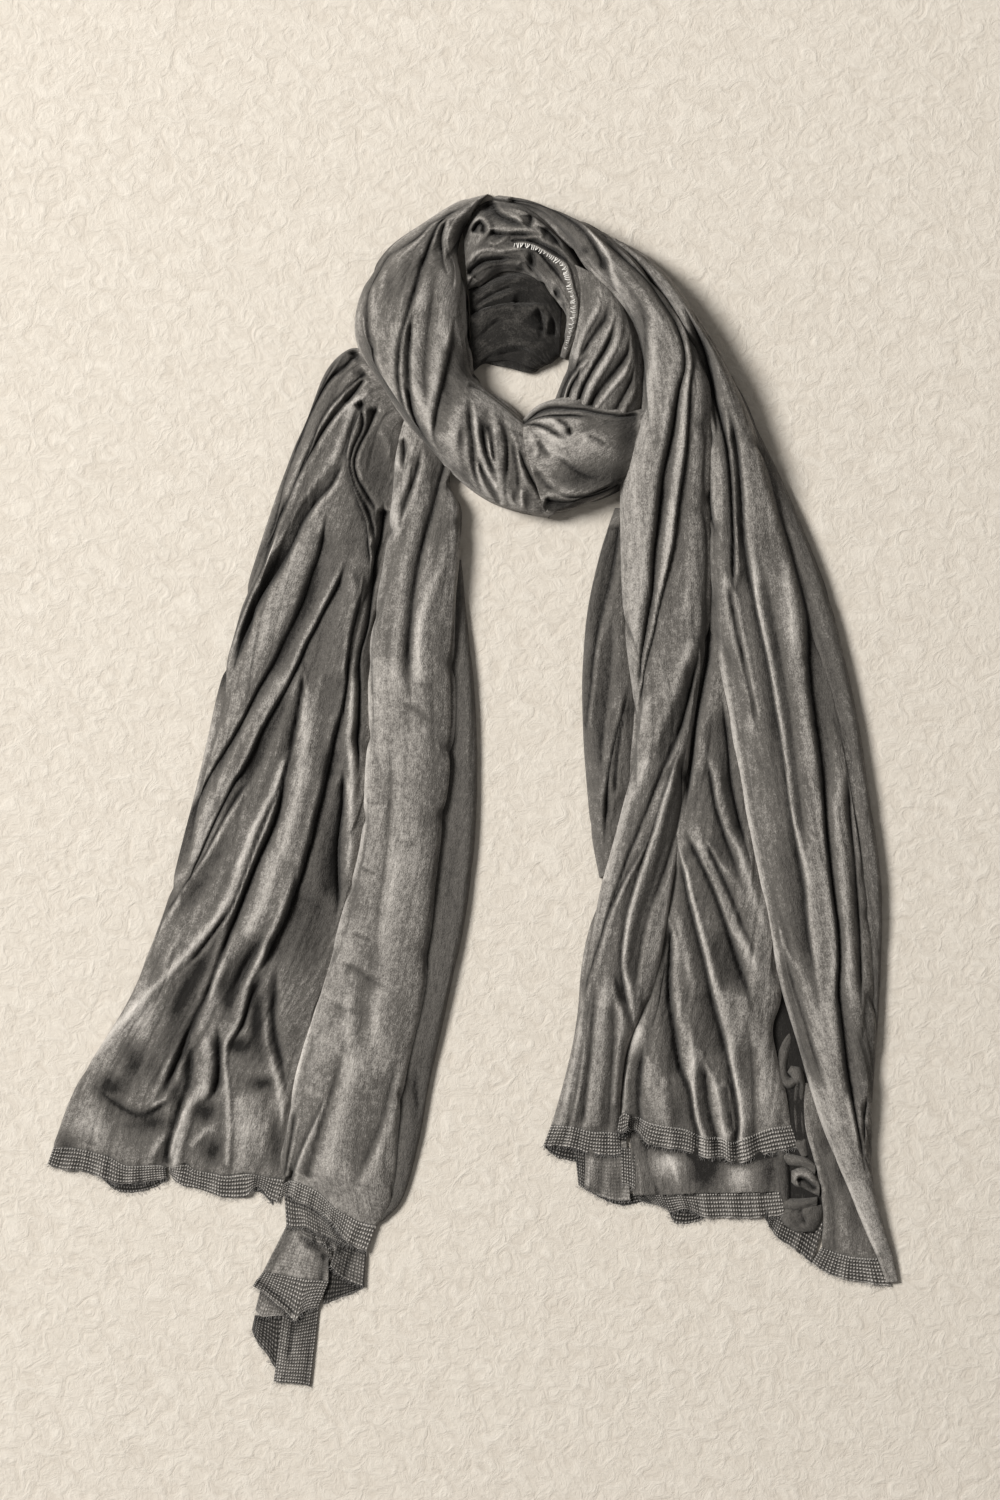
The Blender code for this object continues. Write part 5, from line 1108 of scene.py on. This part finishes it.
collar = {
    "sections": profile(ring, (-8, 474, -4, 424, 0.46), (6, 496, 8, 427, 0.58), (28, 502, 24, 437, 0.66),
        (52, 492, 43, 437, 0.7), (82, 466, 58, 429, 0.7), (97, 438, 70, 415, 0.68), (98, 411, 79, 401, 0.6),
        (91, 386, 78, 384, 0.5), (80, 366, 75, 368, 0.32)),
    "strokes": [
        patch(12, 499, 4, 6, -0.9, -6),
        roll([(21, 500), (24, 492), (29, 487), (38, 484), (47, 480)], 2.2, 3, 0.3, (4, 6)),
        slot([(17, 502), (19, 494), (24, 487.5), (32, 483.5), (40, 480), (47, 475)], 6, -0.8, (4, 6)),
        roll([(16, 488), (22, 482), (30, 478), (40, 475)], 3, 5, 0.35, (6, 8)),
        slot([(50, 490), (50, 482), (47, 474)], 3.5, -0.6, (3, 4)),
        roll([(47, 473), (50, 479), (58, 479), (66, 474), (72, 466)], 2.4, 2.6, 0.3, (4, 8)),
        slot([(56, 478), (65, 474), (72, 467), (77, 458)], 5, -0.6, (6, 6)),
        slot([(14, 476), (20, 472), (30, 471), (44, 470.5), (58, 471)], 5, -0.75, (4, 8)),
        roll([(-3, 474), (1, 482), (7, 486), (13, 483), (15.5, 476), (14, 467)], 3.4, 2.6, 0.2, (4, 6)),
        slot([(0, 472), (3, 479), (7, 481.5), (10, 478), (9.5, 470)], 4.5, -0.6, (3, 4)),
        roll([(12, 465), (19, 462), (25, 465), (29, 469), (36, 470), (45, 468.5), (52, 469.5), (60, 466)],
            3.4, 2.2, 0.65, (4, 6)),
        cleft([(30, 465), (40, 465.6), (50, 465), (60, 461.5), (69, 457), (77, 451), (86, 444)], 6, -0.9,
            (4, 6)),
        roll([(36, 462.5), (44, 462.8), (52, 461), (59, 457.5), (66, 453.5), (73, 449.5), (79, 443),
            (82, 434), (84, 425), (87, 414), (87, 402), (84, 388), (80, 374)], 3.6, 2.8, 0.6, (4, 6)),
        cleft([(24, 461), (36, 460.4), (48, 460), (57, 455), (63, 448), (69, 441), (75, 433), (81, 426)], 5,
            -0.8, (6, 6)),
        roll([(-3, 446), (1, 453), (7, 457), (15, 458), (26, 456.5), (35, 458), (43, 459), (52, 457),
            (59, 451), (66, 442), (74, 432), (83, 424)], 3.4, 2.6, 0.55, (4, 6)),
        roll([(40, 454), (46, 447), (53, 440), (60, 433), (66, 426)], 2.6, 2.2, 0.3, (4, 6)),
        patch(50.5, 448, 3.0, 7, -1.0, -5),
        roll([(66, 432), (72, 424), (78, 416), (83, 408)], 2.4, 2.4, 0.25, (4, 6)),
        slot([(-5, 437), (2, 444), (11, 449), (24, 450), (38, 449.5)], 5, -0.6, (4, 6)),
        roll([(-5, 431), (3, 439), (14, 445), (28, 446.5), (38, 446), (44, 444)], 2.6, 2.4, 0.15, (4, 4)),
        roll([(37, 444), (42, 447), (45, 442), (49, 437), (56, 433)], 3, 2.0, 0.55, (3, 5)),
        patch(41, 440.5, 3, 2, -0.8, -3), patch(71, 420, 2.4, 4, -1.0, -6),
        roll([(66, 426), (68, 418), (73, 413), (80, 412)], 2.8, 1.8, 0.45, (4, 4)),
        patch(26, 446, 36, 10, -0.3, 0), patch(36, 488, 34, 12, 0.1, 0)],
    "seed": 79, "tone": -0.2, "wrinkle": 0.3, "fine": 0.6, "gain": 1.5}
# the inside of the ring, made dark by painted shade through its tone
innerBack = {
    "sections": profile(ring, (-3, 428, 0, 354, 0.34), (12, 436, 11, 361, 0.42), (30, 444, 29, 359.5, 0.46),
        (49, 440, 48, 355.5, 0.44), (63, 430, 62, 360, 0.36), (76, 410, 74, 368, 0.28)),
    "strokes": [
        slot([(-2, 424), (8, 430), (16, 438), (26, 441), (38, 440), (50, 436)], 4, -0.5, (4, 6)),
        roll([(-2, 417), (8, 422), (18, 430), (28, 434), (40, 433), (52, 429)], 3, 4, 0.2, (4, 8)),
        slot([(0, 410), (10, 417), (22, 424), (34, 427), (46, 425)], 4, -0.5, (4, 8)),
        roll([(6, 411), (16, 416), (28, 421), (38, 423)], 2.6, 2.4, 0.25, (4, 6)),
        lap([(-3, 402), (8, 407), (20, 411), (34, 413), (50, 413), (70, 412)], 4, 8, 1, 6, 0.25, (4, 6)),
        slot([(54, 412), (58, 402), (60, 392), (57, 382)], 6, -0.6, (6, 8)),
        roll([(62, 408), (64, 398), (62, 388), (66, 380)], 3, 3, 0.2, (6, 6)),
        slot([(68, 402), (70, 392), (70, 382)], 5, -0.5, (6, 6)),
        slot([(2, 384), (10, 388), (18, 396), (30, 402)], 3, -0.35, (8, 10)),
        roll([(20, 374), (30, 378), (42, 380), (54, 376), (64, 378), (70, 386)], 3, 4.5, 0.15, (8, 8)),
        slot([(16, 367), (28, 371), (42, 373), (54, 369)], 4, -0.4, (6, 8)),
        patch(34, 398, 22, 8, 0.12, 1)],
    "seed": 83, "tone": -1.15, "wrinkle": 0.3, "fine": 0.7}
clothPiece("ring_front_cloth", frontWrap, "wrap_front", (0.13, 0.42))
clothPiece("ring_bottom_cloth", bottomPuff, "wrap_bottom", (0.15, 0.13))
clothPiece("ring_strands_cloth", innerStrands, "wrap_strands", (0.12, 0.14))

overlockEdge = {
    "line": [(36, 463), (44, 463), (52, 461), (59, 457.5), (66, 453.5), (73, 449.5), (79, 443), (82, 434),
        (84, 425), (87, 414), (87, 402), (84, 388), (80, 374)],
    "sizes": {"Pitch": 0.0019, "Length": 0.0038, "Radius": 0.00034, "Bow": 0.0012, "Inward": 0.0,
        "Spread": 0.42, "Least": 0.6, "Most": 1.25}}


# a line laid on a part's surface, just above its nearest points, so the stitches sit on the cloth
def onSurface(part, path):
    line = smoothCurve(path, 1.0)
    points = part["points"]
    heights = []
    for spot in line:
        near = np.argsort(np.hypot(*(points[:, :2] - spot).T))[:4]
        heights.append(points[near, 2].max() + hem["stitchLift"])
    return np.column_stack([line, blurred(np.array(heights)[:, None], 2, 0)[:, 0]])


collarPart = stretch(**collar)
overlock = threadPiece("overlock_stitches", [onSurface(collarPart, overlockEdge["line"])],
                       threadTree("overlock", materials["edge_thread"], 9), overlockEdge["sizes"])
makePiece("ring_collar_cloth", [collarPart], "cloth", ["wrap_collar"], (0.12, 0.20))
clothPiece("ring_back_cloth", innerBack, "wrap_back", (0.13, 0.11))

print("woven ends")
flapSheet = {
    "sections": profile(1.0, (281, -248, 292, -250, 5.0), (280.5, -269, 303, -272, 6.5),
        (283, -290, 314, -292, 7.5), (289, -310, 318, -312, 8.5), (295, -335, 328, -336, 9.0),
        (298, -362, 340, -364, 8.5), (297, -378, 345, -384, 7.5), (297, -387, 346, -395, 6.5)),
    "strokes": [
        ridge([(284, -262), (284, -285), (290, -308), (296, -332), (299.5, -356), (299, -380)], 1.6, 2.2, 0.5,
            (6, 0)),
        slot([(292, -300), (301, -326), (307, -352), (308, -388)], 1.6, -0.25, (14, 0)),
        ridge([(304, -320), (313, -350), (317, -388)], 1.2, 5, 0.25, (14, 0)),
        # painted shadow beside the right sheet's edge
        patch(301, -296, 7, 16, -0.7, -2), patch(314, -326, 7, 18, -0.8, -2),
        patch(325, -356, 7, 18, -0.6, -1)],
    "seam": [(297, -388), (312, -393), (326, -396), (347, -397)],
    "seed": 91, "tone": -0.18, "lip": 1.2, "wrinkle": 0.5, "fine": 0.7, "closed": (True, False)}
# small folds between the middle sheet and the right one, from back to front: painted shade, rows, strokes
ruffle = {"seed": 94, "look": {"lip": 1.0, "power": 2.0, "wrinkle": 0.4, "fine": 0.55}, "folds": [
    (-1.3, profile(1.0, (236, -140, 252, -142, 5.0), (242, -180, 270, -184, 7.0), (250, -220, 284, -224, 6.0),
        (256, -256, 292, -260, 5.0), (258, -290, 298, -294, 4.0), (258, -320, 298, -324, 3.0),
        (262, -356, 297, -358, 3.0)), []),
    (-0.6, profile(1.0, (266, -200, 275, -204, 5.0), (260.5, -216, 270.5, -222, 8.0),
        (257.5, -232, 268, -233, 9.0), (259.5, -248, 268.5, -240, 10.0), (269, -254, 270.5, -243, 10.0),
        (277, -250, 273, -242, 9.0)), []),
    (-0.5, profile(1.0, (267, -240, 271, -233, 8.0), (271, -245, 280, -236, 11.0),
        (272, -254, 283, -250, 10.0), (270, -264, 281.5, -263, 8.0), (271, -280, 282, -279, 8.0),
        (273, -298, 284, -297, 7.0), (279, -312, 286, -310, 5.0)), [slot([(278, -246), (277, -262),
        (278, -284), (280, -300)], 3, -0.5, (4, 4))]),
    (-0.9, profile(1.0, (259, -300, 268, -302, 5.0), (258, -318, 269, -320, 7.0), (259, -336, 270, -338, 7.0),
        (262, -352, 270, -353, 5.0)), []),
    (-0.4, profile(1.0, (264, -318, 262, -306, 6.0), (273, -319.5, 273, -309, 8.0),
        (282, -321, 284, -312, 8.0), (291, -327, 292, -318, 6.0)), []),
    (-0.15, profile(1.0, (271, -333, 271, -323, 7.0), (275, -337, 276.5, -320.5, 10.5),
        (282, -339, 283, -320, 11.0), (288, -342, 289, -324, 10.0), (295, -345, 295, -332, 7.0)),
        [slot([(275, -331), (281, -330), (288, -335), (294, -340)], 5, -0.7, (2, 4))]),
    (-0.6, profile(1.0, (263, -356, 265, -346, 6.0), (272, -357.5, 273, -346.5, 9.0),
        (283, -357, 284, -346, 8.0), (293, -354, 293, -345, 6.0)), []),
    (-0.4, profile(1.0, (262, -356, 297, -352, 6.0), (261, -362, 298, -359, 9.5), (265, -369, 296, -368, 9.0),
        (274, -375, 291, -375, 6.0)), [slot([(278, -352), (280, -360), (284, -370)], 2, -0.3, (4, 4))])]}
ruffleParts = [stretch(rows, strokes, seed=ruffle["seed"] + k, tone=tone, **ruffle["look"])
               for k, (tone, rows, strokes) in enumerate(ruffle["folds"])]
flapPart = clothPiece("right_flap_cloth", flapSheet, "tail_right_flap", (0.05, 0.14))
makePiece("right_ruffle_cloth", ruffleParts, "cloth", ["tail_right_ruffle"], (0.08, 0.18))

fray = {"Pitch": 0.0011, "Length": 0.0026, "Radius": 0.00011, "Bow": 0.0004, "Inward": 0.0006,
        "Spread": 0.7, "Least": 0.35, "Most": 1.5}
hemStitch = {"Pitch": 0.0024, "Length": 0.0015, "Radius": 0.00022, "Bow": 0.0004, "Inward": 0.0006,
             "Spread": 0.35, "Least": 0.5, "Most": 1.2}
frayTree = threadTree("frayed threads", threadMaterial("loose thread", (0.22, 0.21, 0.20)), 4)
hemTree = threadTree("hem stitches", threadMaterial("hem thread", (0.42, 0.405, 0.38)), 6)
rawEdges = []        # free edges made so far, each one lying over the parts that come later
edgeShade = {"felt": 10.0, "width": 3.2, "tone": 0.85}      # the painted shadow under such an edge


# a woven end with loose threads on its free edges; its bands are given from top to bottom, and each band gets
# a painted shadow under the raw edges made before it
def hemPiece(name, node, flat, bands, rests=("floor",)):
    for part in bands:
        # painted shadow under the raw edges that lie over this band
        for line in rawEdges:
            inside, far = nearCurve(part["points"][:, :2], line, edgeShade["felt"])[:2]
            part["pale"][inside] -= edgeShade["tone"] * np.exp(-(far / edgeShade["width"]) ** 2)
        if part["raw"]:
            rawEdges.append(part["edge"][::4, :2])
    edges = [part["edge"] for part in bands if part["raw"]]
    extra = [threadPiece(name + "_fray", edges, frayTree, fray),
             threadPiece(name + "_stitches", [bands[0]["top"]], hemTree, hemStitch)]
    makePiece(name, bands, "woven_end", [node], flat, wall=1.0)


# a band's tone below zero is painted shade, darkest where a band lies under the others
leftOuterEnd = {"flat": (0.12, 0.023), "bands": [
    band(**endRow(outerPart, 0.0, 0.49), edge=[(-361, -317), (-351, -322), (-334, -323), (-321, -327),
        (-311, -331), (-300, -334), (-284, -333), (-270, -331), (-259, -329)], waves=4, ripple=2.4, seed=3,
        tone=0.05),
    band([(-318, -322), (-300, -328), (-280, -330), (-262, -326)], [(-314, -330), (-307, -337), (-299, -341),
        (-284, -341), (-271, -337), (-259, -331)], seamHeight=2.2, edgeHeight=0.6, waves=3, ripple=0.8,
        tone=-0.75, seed=8)]}
hemPiece("left_outer_end", "hem_left_outer", **leftOuterEnd)
leftInnerEnd = {"flat": (0.11, 0.022), "bands": [
    band(**endRow(outerPart, 0.5), edge=[(-258, -325), (-252, -332), (-245, -336), (-237, -337), (-224, -341),
        (-211, -345), (-193, -345), (-187, -339), (-181, -337), (-173, -346), (-166, -350)], waves=3.4,
        ripple=2.2, seed=5, tone=0.05),
    band([(-190, -330), (-180, -331), (-170, -334)], [(-186, -340), (-178, -343), (-170, -352)],
        seamHeight=2.0, edgeHeight=0.6, waves=1.5, ripple=0.6, tone=-0.7, seed=4)]}
hemPiece("left_inner_end", "hem_left_inner", **leftInnerEnd)
leftPanelEnd = {"flat": (0.095, 0.02), "bands": [
    band(**endRow(panelPart), edge=[(-164, -347), (-157, -344), (-148, -350), (-141, -352), (-134, -356),
        (-126, -361), (-117, -370), (-110, -380), (-103, -386), (-90, -392)], edgeHeight=5.0, waves=4,
        ripple=1.8, seed=7, tone=0.1)]}
hemPiece("left_panel_end", "hem_left_panel", **leftPanelEnd)
leftSecondEnd = {"flat": (0.062, 0.042), "bands": [
    band([(-160, -340), (-146, -346), (-134, -352), (-122, -364), (-112, -376)], [(-158, -370), (-150, -372),
        (-142, -371), (-132, -376), (-121, -380), (-112, -384), (-102, -388)], seamHeight=5.4, edgeHeight=4.4,
        waves=2.6, ripple=0.9, tone=-0.05, seed=9, ribs=0.8),
    band([(-150, -362), (-138, -367), (-124, -375), (-110, -384)], [(-144, -379), (-138, -382), (-131, -385),
        (-123, -386), (-116, -390), (-108, -391)], seamHeight=4.2, edgeHeight=3.2, waves=3, ripple=0.8,
        tone=-0.2, seed=12, ribs=0.5, fray=1.1),
    band([(-146, -368), (-134, -374), (-120, -382)], [(-140, -386), (-134, -388), (-130, -391), (-124, -397),
        (-119, -397)], seamHeight=3.6, edgeHeight=2.6, waves=2, ripple=0.8, tone=-0.3, seed=10, ribs=0.5,
        fray=1.1)]}
hemPiece("left_second_end", "hem_left_second", **leftSecondEnd)
leftCornerEnd = {"flat": (0.034, 0.052), "bands": [
    band([(-114, -380), (-104, -384), (-90, -388)], [(-121, -404), (-112.6, -412), (-104, -417),
        (-92.4, -421.4)], seamHeight=3.8, edgeHeight=3.4, waves=1.2, ripple=0.8, tone=-0.3, seed=13, ribs=0.6,
        strokes=[slot([(-101, -390), (-106, -402), (-108, -414)], 3, -0.4, (4, 0))]),
    band([(-122, -400), (-110, -408), (-92, -414)], [(-127, -436), (-119, -434), (-110, -430), (-100, -426),
        (-92, -422)], seamHeight=1.8, edgeHeight=0.8, waves=1.5, ripple=0.5, tone=-0.85, seed=14, ribs=0.6)]}
hemPiece("left_corner_end", "hem_left_corner", **leftCornerEnd)
leftLowerEnd = {"flat": (0.055, 0.062), "bands": [
    band([(-156, -366), (-146, -370), (-134, -376), (-122, -388)], [(-178, -409), (-164, -411), (-146, -414),
        (-130, -416), (-122, -417)], seamHeight=3.0, edgeHeight=4.6, waves=1.0, ripple=0.6, tone=0.02,
        seed=15, ribs=0.12, raw=False,
        strokes=[ridge([(-143, -374), (-147, -392), (-150, -415)], 2.2, 6, 0.35, (4, 0)),
                 slot([(-127, -392), (-126, -404), (-128, -416)], 3, -0.5, (4, 0)),
                 slot([(-153, -374), (-163, -392), (-172, -408)], 2, -0.25, (4, 0))]),
    band([(-178, -409), (-164, -411), (-146, -414), (-130, -416), (-122, -417)], [(-187, -421),
        (-178.5, -426), (-170, -433), (-158, -443), (-150, -451), (-146, -444), (-138, -440), (-131, -439)],
        seamHeight=4.8, edgeHeight=4.4, waves=1.0, ripple=0.6, tone=0.05, seed=16, ribs=0.9,
        strokes=[ridge([(-186, -420), (-178, -425), (-170, -432), (-158, -442), (-150, -450)], 1.5, 1.5, 0.8,
                     (2, 2)),
                 slot([(-183, -416), (-172, -424), (-160, -435), (-152, -446)], 3, -0.7, (2, 2))])]}
hemPiece("left_lower_end", "hem_left_lower", **leftLowerEnd)
leftLowestEnd = {"flat": (0.045, 0.09), "bands": [
    band([(-160, -438), (-150, -442), (-140, -440), (-130, -436)], [(-169, -502), (-158, -503), (-147, -504),
        (-138, -506)], seamHeight=2.2, edgeHeight=3.4, waves=0.8, ripple=0.7, tone=0.02, seed=17, ribs=0.75,
        strokes=[ridge([(-156, -446), (-160, -470), (-165, -502)], 2, 2.2, 0.6, (4, 0)),
                 slot([(-151, -444), (-154, -470), (-158, -490)], 4, -0.7, (4, 8)),
                 slot([(-134, -440), (-138, -470), (-141, -505)], 2, -0.4, (4, 0)),
                 patch(-150, -452, 10, 10, -0.6, -1.5)]),
    band([(-180, -424), (-170, -430), (-158, -440)], [(-184.5, -441), (-180, -447), (-170, -446.5),
        (-160, -446)], seamHeight=2.4, edgeHeight=3.6, waves=1.0, ripple=0.6, tone=0.0, seed=18, ribs=0.25),
    band([(-185, -446), (-174, -446), (-160, -446)], [(-187.5, -458), (-183, -469), (-174, -480),
        (-167, -491.5), (-163, -484)], seamHeight=1.4, edgeHeight=0.8, waves=1.0, ripple=0.5, tone=-0.7,
        seed=19, ribs=0.8,
        strokes=[ridge([(-184, -450), (-183, -462), (-176, -474)], 1.5, 3, 0.7, (2, 2))])]}
hemPiece("left_lowest_end", "hem_left_lowest", **leftLowestEnd)
rightLeftEnd = {"flat": (0.068, 0.025), "bands": [
    band(**endRow(centrePart), edge=[(60, -302), (74, -302), (87, -304), (99, -308), (117, -310),
        (126, -309)], edgeHeight=3.0, waves=2.6, ripple=1.8, seed=21, tone=0.08),
    band([(125, -277), (129, -273), (134, -276)], [(123, -289), (127, -291), (132, -286)], seamHeight=12.5,
        edgeHeight=11.5, waves=1, ripple=0.4, tone=0.2, seed=40),
    band([(124, -288), (128, -289), (132, -286)], [(124, -296), (129, -297), (133, -294)], seamHeight=8.0,
        edgeHeight=6.0, waves=1, ripple=0.3, tone=-0.95, seed=41, raw=False),
    band([(64, -296), (76, -298), (90, -300)], [(61, -303), (70, -311), (80, -314), (89, -316)],
        seamHeight=1.8, edgeHeight=0.6, waves=1.5, ripple=0.6, tone=-0.75, seed=22)],
    "rests": ["right_under_end"]}
hemPiece("right_left_end", "hem_right_left", **rightLeftEnd)
rightTopEnd = {"flat": (0.16, 0.02), "bands": [
    band(**endRow(middlePart), edge=[(126, -292), (133, -291), (138, -287), (149, -300),
        (167, -304), (181, -306), (192, -309.5), (199, -312), (212, -311.5),
        (221, -316.5), (233, -315), (244, -310), (258, -307), (277, -303)],
        edgeHeight=3.2, waves=5, ripple=2.2, seed=23, tone=0.1)], "rests": ["right_lower_end"]}
hemPiece("right_top_end", "hem_right_top", **rightTopEnd)
rightUnderEnd = {"flat": (0.055, 0.062), "bands": [
    band([(86, -296), (94, -297), (102, -297)], [(90, -335), (96, -339), (101, -341)], seamHeight=1.6,
        edgeHeight=2.4, waves=1, ripple=0.6, tone=-0.4, seed=24, ribs=0.9),
    band([(97, -290), (106, -291), (118, -288), (130, -285)], [(95, -337), (108, -344), (121, -348),
        (134, -348)], seamHeight=2.6, edgeHeight=4.6, waves=1, ripple=0.8, tone=0.0, seed=25, ribs=0.15,
        strokes=[ridge([(104, -300), (101, -318), (98, -336)], 2.5, 2.6, 0.6, (4, 0)),
                 slot([(112, -302), (110, -322), (108, -342)], 2, -0.3, (8, 0)),
                 patch(122, -334, 7, 12, -0.7, -2)]),
    band([(126, -303), (131, -304), (138, -304)], [(127, -334), (132, -335), (138, -338)], seamHeight=3.4,
        edgeHeight=5.2, waves=1, ripple=0.5, tone=0.15, seed=20, ribs=1.2),
    band([(97, -330), (112, -338), (130, -343), (148, -342)], [(95, -336), (108, -346), (126, -352),
        (142, -350), (154, -346)], seamHeight=1.2, edgeHeight=0.6, waves=2, ripple=0.5, tone=-0.6, seed=26)]}
hemPiece("right_under_end", "hem_right_under", **rightUnderEnd)
rightLowerEnd = {"flat": (0.13, 0.068), "bands": [
    band([(133, -284), (150, -286), (170, -290), (214, -296), (266, -297)], [(137, -344), (162, -344),
        (190, -342.5), (217, -342), (264, -341)], seamHeight=2.2, edgeHeight=4.6, waves=2.4, ripple=0.9,
        tone=-0.3, seed=27, ribs=0.0, raw=False,
        strokes=[ridge([(141, -292), (141, -316), (143, -343)], 2, 2.6, 0.5, (4, 0)),
                 slot([(147, -296), (150, -320), (158, -343)], 2, -0.3, (8, 0)),
                 patch(166, -316, 15, 12, 1.1, 2.0), patch(197, -321, 13, 17, -1.7, -2.8),
                 ridge([(158, -300), (170, -318), (178, -341)], 2, 2.4, 0.7, (8, 6)),
                 patch(226, -328, 11, 13, 0.95, 1.4), patch(214, -309, 50, 6, -0.8, 0),
                 patch(252, -325, 7, 18, -0.8, -1), patch(160, -301, 30, 5, -0.7, 0)]),
    band([(137, -343.5), (162, -343.5), (190, -342), (217, -341.5), (264, -340.5)], [(144, -349), (162, -354),
        (169, -358), (181, -355), (192, -360), (199, -363), (217, -363), (237, -363.5), (258, -361),
        (266, -359)], seamHeight=3.4, edgeHeight=2.4, waves=6, ripple=1.6, tone=0.08, seed=28),
    band([(166, -350), (180, -352), (197, -355)], [(167, -358), (172, -367), (185, -367.5), (197, -363)],
        seamHeight=1.6, edgeHeight=0.8, waves=2, ripple=0.6, tone=-0.5, seed=29)]}
hemPiece("right_lower_end", "hem_right_lower", **rightLowerEnd)
rightCornerEnd = {"flat": (0.075, 0.04), "bands": [
    band(**endRow(flapPart), edge=[(288, -401), (301, -410), (314, -415), (332, -418), (345, -420),
        (356, -421)], edgeHeight=2.2, waves=3, ripple=1.6, seed=31, tone=0.1),
    band([(250, -355), (264, -356), (282, -360), (299, -368)], [(249, -364), (258, -379), (274, -390),
        (288, -402)], seamHeight=2.2, edgeHeight=1.2, waves=3, ripple=1.2, tone=-0.25, seed=33)]}
hemPiece("right_corner_end", "hem_right_corner", **rightCornerEnd)

print("floor, light and camera")
bpy.ops.mesh.primitive_plane_add(size=16.0, location=(0.02, 0.03, 0.0))
floor = bpy.context.object
floor.name = "floor"
plasterLook = {"coarse": 75.0, "grit": 160.0, "gritShare": 0.35, "bump": 0.6, "relief": 0.004,
               "low": (0.50, 0.455, 0.395, 1), "high": (0.585, 0.545, 0.485, 1)}
plaster, shader = newMaterial("pale plaster", rough=0.9, shine=0.2)
tree = plaster.node_tree
where = addNode(tree, "ShaderNodeTexCoord").outputs["Object"]
coarse = noiseNode(tree, where, plasterLook["coarse"], detail=7.0, rough=0.62, Distortion=1.2)
grit = noiseNode(tree, where, plasterLook["grit"], detail=6.0, rough=0.7)
tint = addNode(tree, "ShaderNodeValToRGB", {"Fac": coarse})
for element, place, colour in zip(tint.color_ramp.elements, (0.3, 0.7), ("low", "high")):
    element.position = place
    element.color = plasterLook[colour]
tree.links.new(tint.outputs["Color"], shader.inputs["Base Color"])
bumpFrom(tree, shader, maths(tree, "MULTIPLY_ADD", grit, plasterLook["gritShare"], coarse),
         plasterLook["bump"], plasterLook["relief"])
floor.data.materials.append(plaster)

# one big soft lamp up on the left, and a faint light from all around
lights = {"power": 655.0, "size": 2.3, "place": (-3.7, 1.7, 4.9), "colour": (1.0, 0.98, 0.95),
          "room": 0.27, "roomColour": (1.0, 0.97, 0.93, 1)}
light = bpy.data.lights.new("window", "AREA")
light.shape = "DISK"
light.size = lights["size"]
light.energy = lights["power"]
light.color = lights["colour"]
window = bpy.data.objects.new("window", light)
window.location = lights["place"]
window.rotation_euler = (-Vector(lights["place"])).to_track_quat("-Z", "Y").to_euler()
bpy.context.scene.collection.objects.link(window)
world = bpy.data.worlds.new("room")
bpy.context.scene.world = world
world.use_nodes = True
world.node_tree.nodes["Background"].inputs["Color"].default_value = lights["roomColour"]
world.node_tree.nodes["Background"].inputs["Strength"].default_value = lights["room"]

# looking straight down; frame is the height of what is seen on the floor, in metres
view = {"place": (0.0229, 0.0354, 8.0), "frame": 1.275, "film": 24.0}
lens = bpy.data.cameras.new("overhead")
lens.sensor_fit = "VERTICAL"
lens.sensor_height = view["film"]
lens.lens = view["film"] * view["place"][2] / view["frame"]
lens.clip_end = 40.0
camera = bpy.data.objects.new("overhead", lens)
camera.location = view["place"]
bpy.context.scene.collection.objects.link(camera)
bpy.context.scene.camera = camera
bpy.context.scene.view_settings.view_transform = "Standard"
